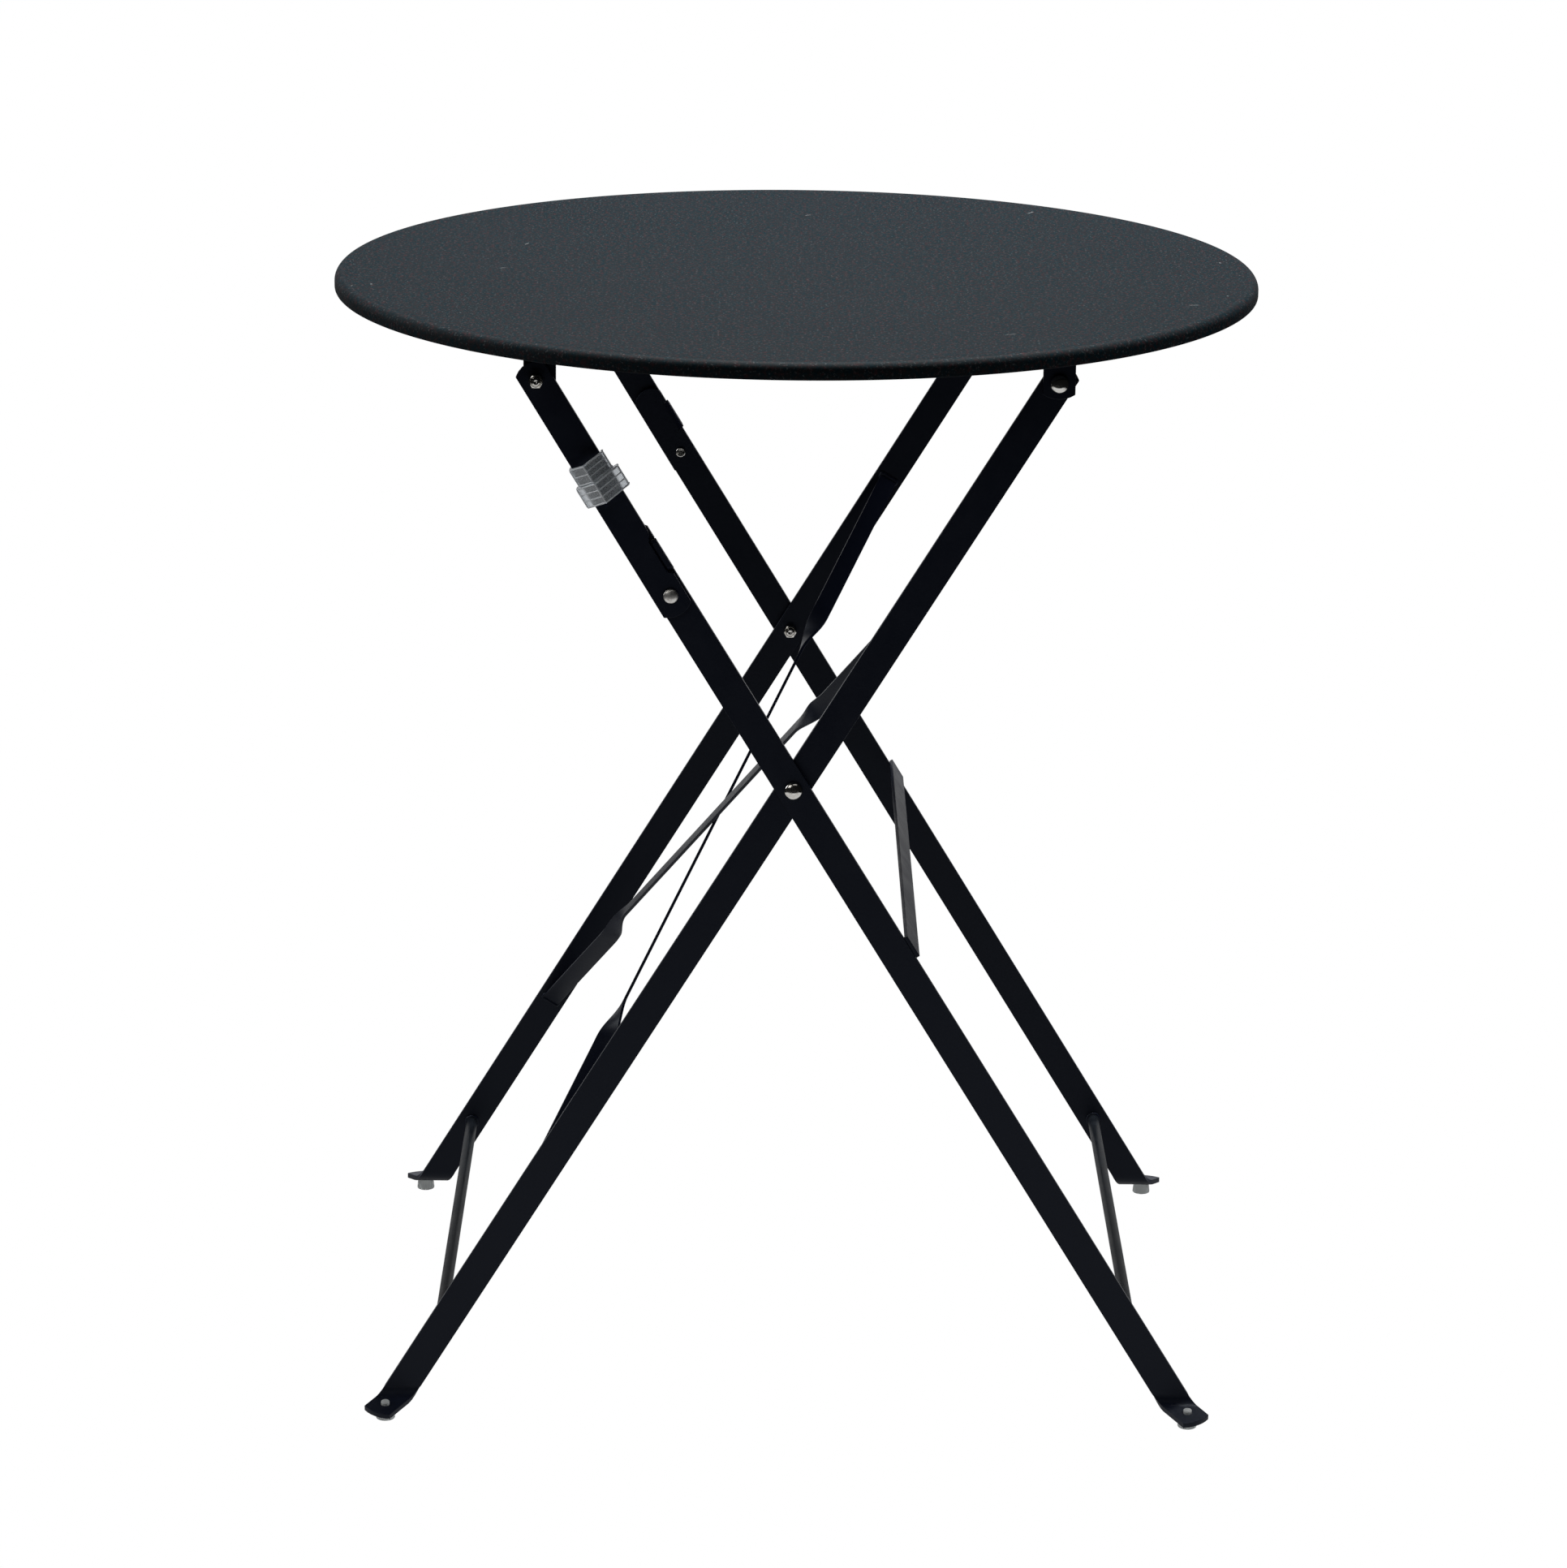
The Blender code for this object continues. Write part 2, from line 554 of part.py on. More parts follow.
def make_glide(name, up, layer, side, hinge):
    """Plastic foot, flat on the floor and sloped on top to suit the bent foot, with its peg."""
    base = CROSS - up * foot_peg_length(up)
    middle = Vector((base.x, side * (layer + FOOT_PEG_REACH), PEG_HEIGHT))
    axis = Vector((0.0, side * FOOT_COS, FOOT_SIN))
    floor = Vector((0.0, 0.0, 1.0))
    under = middle - axis * (BAR_THICK / 2 + GAP)
    below = Vector((under.x, under.y, 0.0))
    edge = NUT_CHAMFER
    tip = 2 * GAP + BAR_THICK + PEG_PROUD
    rings = [turned_ring(below, floor, 0.0, GLIDE_RADIUS - edge, ROUND_STEPS, False)]
    rings.append(turned_ring(below, floor, edge, GLIDE_RADIUS, ROUND_STEPS, False))
    rings.append(turned_ring(under, axis, 0.0, GLIDE_RADIUS - GLIDE_FLARE, ROUND_STEPS, False))
    for height, radius in [(0.0, PEG_RADIUS)] + dome(tip - 2 * edge, PEG_RADIUS, 2 * edge):
        rings.append(turned_ring(under, axis, height, radius, ROUND_STEPS, False))
    add_object(name, "glide", loft(rings), hinge)


def clip_wall(distances, left, right, ridge, peak, hooked):
    """Outer and inner lines of the clip's wall, at two distances up the outer leg's line."""
    foot = -BAR_THICK
    wall = CLIP_WALL
    shoulder = CLIP_SHOULDER
    if hooked:
        back = foot - GAP
        hook = [(left + CLIP_HOOK, back - wall), (left, back - wall)]
        hook += [(left + wall, back), (left + CLIP_HOOK, back)]
    else:
        hook = [(left + wall / 3, foot), (left, foot)]
        hook += [(left + wall, foot), (left + wall * 2 / 3, foot)]
    outer = hook[:2] + [(left, shoulder), (ridge, peak), (right, shoulder), (right, foot)]
    inner = [(right - wall, foot), (right - wall, shoulder - wall / 2), (ridge, peak - 2 * wall)]
    inner += [(left + wall, shoulder - wall / 2)] + hook[2:]
    face = LINK_LAYER + BAR_THICK / 2
    points = []
    for line, distance in zip((outer, inner), distances):
        place = CROSS + OUTER_UP * distance
        points += [place + OUTER_ACROSS * v + Vector((0.0, -face - out, 0.0)) for v, out in line]
    return points


def make_storage_clip(hinge):
    """Clear clip pushed onto the near link: a ridged tent in two steps, hooked behind one edge."""
    top = LEG_REACH - CLIP_DROP
    step = top - CLIP_UPPER
    bottom = step - CLIP_LOWER
    ledge = (step, step - CLIP_WALL)
    rings = [clip_wall((top, top), **CLIP_UPPER_SECTION), clip_wall(ledge, **CLIP_UPPER_SECTION)]
    rings += [clip_wall(ledge, **CLIP_LOWER_SECTION), clip_wall((bottom, bottom), **CLIP_LOWER_SECTION)]
    add_object("storage_clip", "clear", loft(rings), hinge)


def make_inner_frame(hinge):
    for where, side in SIDES.items():
        make_inner_leg("inner_leg_" + where, side, hinge)
        make_glide("inner_glide_" + where, INNER_UP, INNER_LAYER, side, hinge)
        make_cross_fasteners("cross", CROSS, side, hinge)
        make_cross_fasteners("top_hinge", PIN_LEG, side, hinge)
    make_brace("brace_front", SIDES["near"], FRONT_BRACE_TURN, FRONT_BRACE_LAP, hinge)
    make_brace("brace_back", SIDES["far"], BACK_BRACE_TURN, BACK_BRACE_LAP, hinge)
    make_rod("inner_foot_rod", INNER_UP, INNER_ROD_DROP, INNER_LAYER, hinge)


def make_outer_frame(hinge):
    for where, side in SIDES.items():
        make_outer_leg("outer_leg_" + where, side, hinge)
        make_glide("outer_glide_" + where, OUTER_UP, OUTER_LAYER, side, hinge)
        make_rivet_end("elbow_rivet_end_" + where, side, hinge)
    make_crossbar(hinge)
    make_rod("outer_foot_rod", OUTER_UP, OUTER_ROD_DROP, OUTER_LAYER, hinge)


def make_top_assembly(hinge):
    make_tabletop(hinge)
    make_bracket("bracket_link_side", PIN_LINK, LINK_BRACKET_SHIFT, hinge)
    make_bracket("bracket_leg_side", PIN_LEG, 0.0, hinge)
    for side in SIDES.values():
        make_link_fasteners(side, hinge)


def make_links(top_hinge):
    for where, side in SIDES.items():
        hinge = add_empty("link_hinge_" + where, PIN_LINK, top_hinge)
        make_upper_link("upper_link_" + where, side, hinge)
        make_rivet_head("elbow_rivet_" + where, side, hinge)
        if where == "near":
            make_storage_clip(hinge)


def main():
    clear_scene()
    inner_frame = add_empty("inner_frame", Vector((0.0, 0.0, 0.0)))
    cross_hinge = add_empty("cross_hinge", CROSS, inner_frame)
    top_hinge = add_empty("top_hinge", PIN_LEG, inner_frame)
    make_inner_frame(inner_frame)
    make_outer_frame(cross_hinge)
    make_top_assembly(top_hinge)
    make_links(top_hinge)


main()
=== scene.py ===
"""Looks of the folding bistro table: powder-coated steel, plated fasteners, plastic glides and clip.

Metres, +Z up, in the CAD frame. X runs along the fold and -Y is the near side.
"""
import json
import math

import bmesh
import bpy
from mathutils import Matrix, Vector, noise


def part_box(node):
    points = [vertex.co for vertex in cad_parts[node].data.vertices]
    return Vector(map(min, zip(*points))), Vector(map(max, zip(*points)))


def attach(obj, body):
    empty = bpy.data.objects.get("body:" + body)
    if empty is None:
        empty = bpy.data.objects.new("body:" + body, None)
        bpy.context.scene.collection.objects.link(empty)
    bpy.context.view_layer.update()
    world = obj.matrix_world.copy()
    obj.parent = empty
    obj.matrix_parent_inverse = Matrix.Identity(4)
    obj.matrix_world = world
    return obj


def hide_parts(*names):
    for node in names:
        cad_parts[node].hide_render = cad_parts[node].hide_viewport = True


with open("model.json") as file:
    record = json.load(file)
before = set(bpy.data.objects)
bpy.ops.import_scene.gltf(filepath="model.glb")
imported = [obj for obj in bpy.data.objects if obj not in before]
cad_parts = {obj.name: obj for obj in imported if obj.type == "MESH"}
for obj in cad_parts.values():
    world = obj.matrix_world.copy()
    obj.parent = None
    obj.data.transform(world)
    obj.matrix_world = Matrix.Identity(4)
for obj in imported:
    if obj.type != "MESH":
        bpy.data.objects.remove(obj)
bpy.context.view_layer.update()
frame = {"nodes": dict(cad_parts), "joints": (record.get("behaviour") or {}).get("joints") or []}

SIDES = {"near": -1, "far": 1}

# Camera: yaw turns it to the right and pitch tips it down, in radians
CAMERA_PLACE = Vector((-0.02747, -3.27729, 1.34823))
CAMERA_YAW = 0.0069
CAMERA_PITCH = 0.2896
CAMERA_ROLL = 0.0109
CAMERA_LENS = 117.09
CAMERA_SENSOR = 36.0      # millimetres, as the lens
CAMERA_CLIP = (0.05, 60.0)

# Stage
WHITE = (1.0, 1.0, 1.0, 1.0)
CARD_WHITE = (1.0, 0.985, 0.96, 1.0)
FLOOR_REACH = 40.0
FLOOR_LEVEL = -0.06       # below the glides, so that the outer feet stay in view when the table is folded
DOME_RADIUS = 30.0
PAPER_REACH = 0.95        # the white paper under the table, which only shows in reflections
PAPER_LEVEL = -0.0004
PAPER_GLOW = 0.6
WALL_REACH = 1.8          # the white wall behind the table, which only shows in reflections
WALL_PLACE = 2.2
WALL_HEIGHT = 0.95
WALL_GLOW = 0.9
WORLD_GLOW = 0.004
DULL_LIGHTS = ["right", "fill"]     # these don't show in reflections
# white cards in front of the table, which only show in reflections: (middle, width, height, glow)
CARDS = {
    "card_left": ((-1.6, -2.3, 2.10), 1.4, 1.3, 1.5),
    "card_top": ((0.9, -1.9, 3.20), 2.2, 0.6, 0.9),
}
# name: (place, aim, width, height, power)
LIGHTS = {
    "overhead": ((0.10, 0.55, 2.30), (0.0, 0.15, 0.72), 0.9, 0.7, 100.0),
    "left": ((-2.30, 0.30, 1.50), (0.0, 0.0, 0.40), 1.0, 1.4, 28.0),
    "right": ((2.30, 0.30, 1.40), (0.0, 0.0, 0.40), 0.8, 1.2, 28.0),
    "fill": ((-0.60, -2.20, 2.50), (0.0, 0.0, 0.30), 1.2, 1.2, 8.0),
    "bounce": ((0.0, -0.75, -0.03), (0.0, -0.60, 1.0), 1.5, 0.7, 2.6),
}

# Sizes shared with the frame
INNER_LAYER = 0.195       # distances of the bars' middles from the middle plane
OUTER_LAYER = 0.1988
LINK_LAYER = 0.2026
BAR_WIDTH = 0.020
BAR_THICK = 0.0035
GAP = 0.0003
SHEET = 0.0015
RIM_ROLL = 0.006
HEM_THICK = 0.0025
SHANK_RADIUS = 0.0025
HEAD_HEIGHT = 0.0034
NUT_FLATS = 0.008
RIVET_RADIUS = 0.0023
RIVET_HEAD_HEIGHT = 0.0024
PEG_RADIUS = 0.0028
PEG_PROUD = 0.0018
GLIDE_THICK = 0.0065
FOOT_TURN = math.radians(80)
ROD_RADIUS = 0.004
BRACE_WIDTH = 0.0122
BRACE_THICK = 0.002
BRACE_TOP = -0.129
BRACE_BOTTOM = 0.324
BRACE_PLAIN = 0.108
BRACE_TWIST = 0.046
# side of the upper end, turn of the twist, and the shift across the legs where the braces cross
BRACES = {
    "brace_front": (-1, math.radians(90), -0.0037),
    "brace_back": (1, math.radians(99.5), -0.0003),
}
CROSSBAR_DROP = 0.128
CROSSBAR_WIDTH = 0.0155
CLIP_DROP = 0.0585
CLIP_UPPER = 0.0125
CLIP_LOWER = 0.0145
CLIP_WALL = 0.0011
CLIP_HOOK = 0.006
CLIP_SHOULDER = 0.0012
CLIP_UPPER_SECTION = (-0.0120, 0.0116, -0.0017, 0.0130)   # left, right, ridge, peak
CLIP_LOWER_SECTION = (-0.0145, 0.0150, -0.0010, 0.0160)

# Finish of the pieces
EDGE_ROUND = 0.00035
EDGE_STEPS = 2
FINE_STEPS = 60
TOP_STEPS = 360
TWIST_STEPS = 40
CORNER_STEPS = 4
SMALL_ROUND_STEPS = 4
DOME_STEPS = 14
PEG_STEPS = 8
GLIDE_STEPS = 6
ROLL_STEPS = 18
INNER_ROLL_STEPS = 8
HEM_STEPS = 10
SMOOTH_ANGLE = math.radians(38)
EDGE_ANGLE = math.radians(35)     # edges sharper than this are rounded
TIP_RADIUS = 0.0002       # of the flat that closes a turned profile at its axis
ROUND_END = 88            # degrees, where an arc or a dome stops short of its flat middle

# Tabletop pressing
CREASE_WIDTH = 0.0011
CREASE_DEPTH = 0.00012
CREASE_LEAD = 0.01        # flat ring inside the crease
TOP_MIDDLE = 0.002
TOP_RINGS = (0.1, 0.2)

# Bolts and nuts
HEAD_ROUND = 0.0004       # rounded foot of a head
HEAD_INSET = 0.0001
HEAD_SIDE = 0.0002        # straight side between the foot and the dome
THREAD_START = 0.0006
THREAD_TURNS = 5
THREAD_PITCH = 0.0005
THREAD_DEPTH = 0.00022
THREAD_SHAPE = [(0.3, 0.0), (0.6, THREAD_DEPTH), (0.9, 0.0)]     # share of the pitch, depth
BOLT_TIP = [(0.0006, TIP_RADIUS), (0.00045, 0.0008), (0.0, 0.0013), (0.0, 0.0018)]
BOLT_TIP.append((0.00055, SHANK_RADIUS))
NUT_SLOPE = 0.6           # rise of the chamfer at a corner, as a share of how far the corner stands out
NUT_SEAT_SHARE = 0.94     # flat ring of each face, as a share of the flats
NUT_TOP_SHARE = 0.92
NUT_SEAT_RISE = 0.0001
NUT_TOP_DROP = 0.0002
BORE_SEAT_CHAMFER = 0.0004
BORE_TOP_CHAMFER = (0.0006, 0.00075)

# Rivets
RIVET_FOOT_INSET = 0.0004
RIVET_FOOT_ROUND = 0.0003
RIVET_SIDE = 0.00045      # height where the dome starts
RIVET_ROLL = 0.0006       # radius of the rolled end
RIVET_CUP = [(0.0010, TIP_RADIUS), (0.0010, 0.0013), (0.0002, 0.0019), (-0.00055, 0.0025)]

# Glides and rods
GLIDE_FOOT_INSET = 0.0012
GLIDE_FOOT_ROUND = 0.0007
GLIDE_TOP_INSET = 0.0011
GLIDE_TOP_ROUND = 0.0005
PEG_FOOT = 0.0003
PEG_FOOT_RISE = 0.0002
PEG_DOME = 0.0009
ROD_EASE = 0.0002
ROD_STATIONS = 60
ROD_STEPS = 40
ROD_WAVE = 0.00003        # slight waviness of the drawn rod
ROD_WAVE_SCALE = 30

# Weld beads
BEAD = 0.0013             # radius
BEAD_STEP = 0.0006
BEAD_STEPS = 24           # fewest sections of a bead
BEAD_ROUND = 10
BEAD_LUMPS = 0.30
BEAD_LUMP_SCALE = 420.0
ROD_BEAD_INSET = 0.0003
ROD_BEAD_STEPS = 48
BAR_BEAD_INSET = 0.0016
BAR_BEAD_WIDTH = 0.0002
BAR_BEAD_STEPS = 32

# Storage clip
SHELL_ANGLE = math.radians(15)
SHELL_ROUND = 0.0002
RIB_WIDTH = 0.0011
RIB_THIN = 0.8            # inner ribs and feet, as a share of the width
RIB_INSET = 0.3           # how deep a rib sits in its edge, as a share of the width
RIB_ROUND = 10
RIB_TAPER = [(0.0, 0.4), (0.06, 1.0), (0.94, 1.0), (1.0, 0.4)]   # share of the length, share of the width
CLIP_WINDOWS = {"upper": (2, 3), "lower": (3, 3)}                # on the left and on the right

# Looks of the coats, the plating and the plastics. A bump is (strength, distance)
NOISE_SPAN = (0.3, 0.7)           # most of a noise's values lie between these
RIM_START = 0.2940        # distance from the top's middle where its coat is rubbed smoother
RIM_BLEND = 0.0020
RIM_SMOOTHER = 0.10
TOP_SPECULAR = (0.03, 0.045)      # on the flat and on the rim
FRAME_TINT = (0.84, 0.92, 1.0, 1.0)
TOP_ROUGHNESS = (0.74, 0.82)
TOP_BASE = (0.0068, 0.0094, 0.0112, 1)
# tints over the base: (noise, value where the tint starts, value where it is full, strength, colour)
TOP_TINTS = [
    ("flecks", 0.50, 0.68, 1.0, (0.0002, 0.0096, 0.0144, 1)),
    ("flecks", 0.46, 0.30, 1.0, (0.0250, 0.0102, 0.0124, 1)),
    ("grain", 0.40, 0.25, 0.70, (0.0008, 0.0012, 0.0018, 1)),
    ("grain", 0.58, 0.72, 0.75, (0.062, 0.068, 0.072, 1)),
    ("blotch", 0.35, 0.70, 0.07, (0.018, 0.021, 0.024, 1)),
]
TOP_SPECK = (0.16, 0.17, 0.17, 1)
TOP_MARK = (0.15, 0.16, 0.16, 1)
TOP_BUMPS = {"peel": (0.25, 0.0002), "grain": (0.20, 0.0001)}
# name: (scale, detail, roughness, distortion)
TOP_NOISES = {
    "grain": (640.0, 2.5, 0.65), "flecks": (360.0, 2.5, 0.65),
    "blotch": (9.0, 3.0, 0.5), "peel": (420.0, 3.0, 0.5),
}
FRAME_NOISES = {"grain": (1400.0, 2.0, 0.6), "peel": (450.0, 3.0, 0.5), "patch": (34.0, 5.0, 0.7, 0.5)}
ZINC_NOISES = {"smudge": (420.0, 4.0, 0.6), "fine": (3200.0, 2.0, 0.5)}
# (grid cell, radius, share of the cells that hold one)
TOP_SPECKS = (0.045, 0.0005, 0.14)
FRAME_SPECKS = (0.030, 0.0004, 0.10)
# name: (plain colour, rubbed colour, specular level)
FRAME_COATS = {
    "frame_coat": ((0.0050, 0.0067, 0.0148, 1), (0.0066, 0.0085, 0.0168, 1), 0.17),
    # the rods have the frame's same paint: this darker plain colour is painted shade, while its mottling
    # is the coat's own
    "rod_coat_painted_shade": ((0.0016, 0.0024, 0.0040, 1), (0.0090, 0.0110, 0.0140, 1), 0.09),
}
# each span is (lowest noise, highest noise, what they give)
FRAME_RUBBED = (0.35, 0.70, 0.0, 1.0)
FRAME_PALE = (0.60, 0.80, 0.0, 0.35)
FRAME_ROUGHNESS = (0.30, 0.72, 0.38, 0.50)
FRAME_ROUGH_GRAIN = (-0.03, 0.03)
FRAME_BUMPS = {"peel": (0.22, 0.0002), "grain": (0.15, 0.0001)}
FRAME_GRAIN = (0.022, 0.025, 0.032, 1)
FRAME_SPECK = (0.08, 0.08, 0.09, 1)
# name: (lowest roughness, highest roughness)
STEELS = {
    "plated_steel": (0.10, 0.22),
    "satin_steel": (0.32, 0.42),
}
ZINC_SMUDGE = (0.48, 0.75)
ZINC_BUMP = (0.10, 0.00005)
ZINC = ((0.80, 0.79, 0.76, 1), (0.55, 0.52, 0.47, 1))       # bright and smudged
# a cloud noise mixes the two colours, a scuff noise sets the roughness, and one of them is the relief
PLASTICS = {
    "glide_plastic": {
        "colours": ((0.50, 0.52, 0.52, 1), (0.66, 0.68, 0.68, 1)), "roughness": (0.30, 0.50),
        "transmission": 0.55, "refraction": 1.3, "cloud": (350.0, 4.0), "scuff": (1700.0, 3.0),
        "relief": "scuff", "bump": (0.2, 0.0001),
    },
    "clear_plastic": {
        "colours": ((0.52, 0.55, 0.58, 1), (0.68, 0.71, 0.74, 1)), "roughness": (0.24, 0.32),
        "transmission": 0.85, "refraction": 1.46, "cloud": (90.0, 1.0, 0.4, 0.5), "scuff": (2000.0, 2.0),
        "relief": "cloud", "bump": (0.06, 0.0003),
    },
    "frosted_plastic": {
        "colours": ((0.74, 0.77, 0.81, 1), (0.92, 0.95, 0.97, 1)), "roughness": (0.25, 0.40),
        "transmission": 0.15, "refraction": 1.4, "cloud": (260.0, 3.0), "scuff": (260.0, 3.0),
        "relief": "cloud", "bump": (0.05, 0.0002),
    },
}
# pale marks in the top's coat: (x, y, direction in degrees, length, width)
TOP_MARKS = [
    (-0.272, -0.066, 0, 0.0016, 0.0014), (-0.284, -0.072, 20, 0.0014, 0.0012),
    (0.279, 0.034, 0, 0.0017, 0.0015), (0.274, -0.079, 35, 0.0015, 0.0013),
    (0.130, -0.207, 25, 0.0090, 0.0005), (0.163, 0.213, 60, 0.0110, 0.0007),
    (0.250, -0.110, 5, 0.0075, 0.0006), (0.009, 0.195, 40, 0.0060, 0.0007),
    (-0.179, 0.079, 70, 0.0080, 0.0006), (-0.191, -0.007, 30, 0.0050, 0.0007),
]

# ------------------------------------------------------------------ linkage, from the record

JOINTS = {joint["name"]: joint for joint in frame["joints"]}


def joint_place(name):
    """A joint's place, moved to the middle plane."""
    place = JOINTS[name]["pos_m"]
    return Vector((place[0], 0.0, place[2]))


def radius_of(node):
    """Half a node's width along X, which is its radius where it is round."""
    low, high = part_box(node)
    return (high.x - low.x) / 2


def pin_of(node):
    """The point of the middle plane where a node's axis along Y crosses it."""
    low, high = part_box(node)
    return Vector(((low.x + high.x) / 2, 0.0, (low.z + high.z) / 2))


CROSS = joint_place("cross_hinge")
PIN_LEG = joint_place("top_hinge")
PIN_LINK = joint_place("link_hinge_near")
INNER_UP = (PIN_LEG - CROSS).normalized()
OUTER_UP = (PIN_LINK - CROSS).normalized()
INNER_ACROSS = Vector((INNER_UP.z, 0.0, -INNER_UP.x))
OUTER_ACROSS = Vector((OUTER_UP.z, 0.0, -OUTER_UP.x))
UP = Vector((0.0, 0.0, 1.0))


# ------------------------------------------------------------------ meshes

def add_piece(name, bm, material, body, replaced=(), angle=SMOOTH_ANGLE):
    """Turn a bmesh in world coordinates into a piece that rides on a body."""
    bmesh.ops.recalc_face_normals(bm, faces=bm.faces)
    mesh = bpy.data.meshes.new(name)
    bm.to_mesh(mesh)
    bm.free()
    mesh.shade_smooth()
    mesh.set_sharp_from_angle(angle=angle)
    mesh.materials.append(material)
    piece = bpy.data.objects.new(name, mesh)
    bpy.context.scene.collection.objects.link(piece)
    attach(piece, body)
    if replaced:
        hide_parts(*replaced)
    return piece


def loft(rings, capped=True, bm=None):
    """A closed body through rings that all have the same number of points, in a new or given bmesh."""
    bm = bm or bmesh.new()
    loops = [[bm.verts.new(point) for point in ring] for ring in rings]
    count = len(loops[0])
    pairs = list(zip(loops, loops[1:]))
    if capped:
        bm.faces.new(reversed(loops[0]))
        bm.faces.new(loops[-1])
    else:
        pairs.append((loops[-1], loops[0]))
    for lower, upper in pairs:
        for i in range(count):
            j = (i + 1) % count
            bm.faces.new((lower[i], lower[j], upper[j], upper[i]))
    return bm


def circle(centre, first, second, radius, steps):
    """Points of a circle, from the two unit vectors that span its plane."""
    points = []
    for step in range(steps):
        angle = 2 * math.pi * step / steps
        points.append(centre + (first * math.cos(angle) + second * math.sin(angle)) * radius)
    return points


def ring(base, axis, profile_point, steps):
    """One turned ring. A point is (height, radius), or (height, flats, chamfer) for a hexagon."""
    side = Vector((1.0, 0.0, 0.0))
    other = axis.cross(side)
    points = []
    for step in range(steps):
        angle = 2 * math.pi * step / steps
        height, reach = profile_point[0], profile_point[1]
        if len(profile_point) == 3:
            corner = reach / math.cos(angle % (math.pi / 3) - math.pi / 6) - reach
            height += profile_point[2] * corner
            reach += corner
        points.append(base + axis * height + (side * math.cos(angle) + other * math.sin(angle)) * reach)
    return points


def turned(base, axis, profile, steps=FINE_STEPS, capped=True):
    """A turned body, from its profile along an axis."""
    return loft([ring(base, axis, point, steps) for point in profile], capped)


def arc(centre, radius, start, end, steps):
    """Points of an arc, as (height, radius) pairs, with angles in degrees from the axis's normal."""
    points = []
    for step in range(steps + 1):
        angle = math.radians(start + (end - start) * step / steps)
        points.append((centre[0] + radius * math.sin(angle), centre[1] + radius * math.cos(angle)))
    return points


# ------------------------------------------------------------------ node helpers

def new_material(name):
    """A material, its node tree and its main shader."""
    material = bpy.data.materials.new(name)
    material.use_nodes = True
    tree = material.node_tree
    return material, tree, tree.nodes["Principled BSDF"]


def put(tree, socket, value):
    """Connect a socket to another, or give it a plain value."""
    if isinstance(value, bpy.types.NodeSocket):
        tree.links.new(value, socket)
    else:
        socket.default_value = value


def coordinates(tree):
    return tree.nodes.new("ShaderNodeTexCoord").outputs["Object"]


def noise_of(tree, place, scale, detail=3.0, roughness=0.55, distortion=0.0):
    """The value of a noise, from 0 to 1."""
    node = tree.nodes.new("ShaderNodeTexNoise")
    put(tree, node.inputs["Vector"], place)
    node.inputs["Scale"].default_value = scale
    node.inputs["Detail"].default_value = detail
    node.inputs["Roughness"].default_value = roughness
    node.inputs["Distortion"].default_value = distortion
    return node.outputs["Fac"]


def remap(tree, value, low, high, to_low=0.0, to_high=1.0):
    """A value's place between two limits, put between two others and held there."""
    node = tree.nodes.new("ShaderNodeMapRange")
    put(tree, node.inputs["Value"], value)
    for name, number in zip(("From Min", "From Max", "To Min", "To Max"), (low, high, to_low, to_high)):
        put(tree, node.inputs[name], number)
    return node.outputs["Result"]


def mix_colour(tree, factor, first, second):
    node = tree.nodes.new("ShaderNodeMix")
    node.data_type = "RGBA"
    put(tree, node.inputs[0], factor)
    put(tree, node.inputs[6], first)
    put(tree, node.inputs[7], second)
    return node.outputs[2]


def maths(tree, operation, first, second=0.0):
    node = tree.nodes.new("ShaderNodeMath")
    node.operation = operation
    put(tree, node.inputs[0], first)
    put(tree, node.inputs[1], second)
    return node.outputs[0]


def bump(tree, height, strength, distance, below=None):
    node = tree.nodes.new("ShaderNodeBump")
    put(tree, node.inputs["Height"], height)
    node.inputs["Strength"].default_value = strength
    node.inputs["Distance"].default_value = distance
    if below is not None:
        put(tree, node.inputs["Normal"], below)
    return node.outputs["Normal"]


def specks(tree, place, cell, radius, share):
    """1 inside round specks, one in a share of the cells of a grid, and 0 elsewhere."""
    voronoi = tree.nodes.new("ShaderNodeTexVoronoi")
    put(tree, voronoi.inputs["Vector"], place)
    voronoi.inputs["Scale"].default_value = 1.0 / cell
    near = remap(tree, voronoi.outputs["Distance"], radius / cell, radius * 0.5 / cell)
    colour = tree.nodes.new("ShaderNodeSeparateColor")
    put(tree, colour.inputs["Color"], voronoi.outputs["Color"])
    return maths(tree, "MULTIPLY", near, maths(tree, "LESS_THAN", colour.outputs["Red"], share))


# ------------------------------------------------------------------ materials

def distance_from_axis(tree, place):
    """Distance from the middle of the top, along the floor."""
    split = tree.nodes.new("ShaderNodeSeparateXYZ")
    put(tree, split.inputs["Vector"], place)
    level = tree.nodes.new("ShaderNodeCombineXYZ")
    put(tree, level.inputs["X"], split.outputs["X"])
    put(tree, level.inputs["Y"], split.outputs["Y"])
    length = tree.nodes.new("ShaderNodeVectorMath")
    length.operation = "LENGTH"
    put(tree, length.inputs[0], level.outputs["Vector"])
    return length.outputs["Value"]


def stroke(tree, place, mark):
    """1 inside a short straight mark on a level surface, and 0 elsewhere."""
    x, y, direction, length, width = mark
    turn = tree.nodes.new("ShaderNodeMapping")
    turn.vector_type = "TEXTURE"
    turn.inputs["Location"].default_value = (x, y, 0.0)
    turn.inputs["Rotation"].default_value = (0.0, 0.0, math.radians(direction))
    put(tree, turn.inputs["Vector"], place)
    split = tree.nodes.new("ShaderNodeSeparateXYZ")
    put(tree, split.inputs["Vector"], turn.outputs["Vector"])
    along = remap(tree, maths(tree, "ABSOLUTE", split.outputs["X"]), length / 2, length / 4)
    across = remap(tree, maths(tree, "ABSOLUTE", split.outputs["Y"]), width / 2, width / 4)
    return maths(tree, "MULTIPLY", along, across)


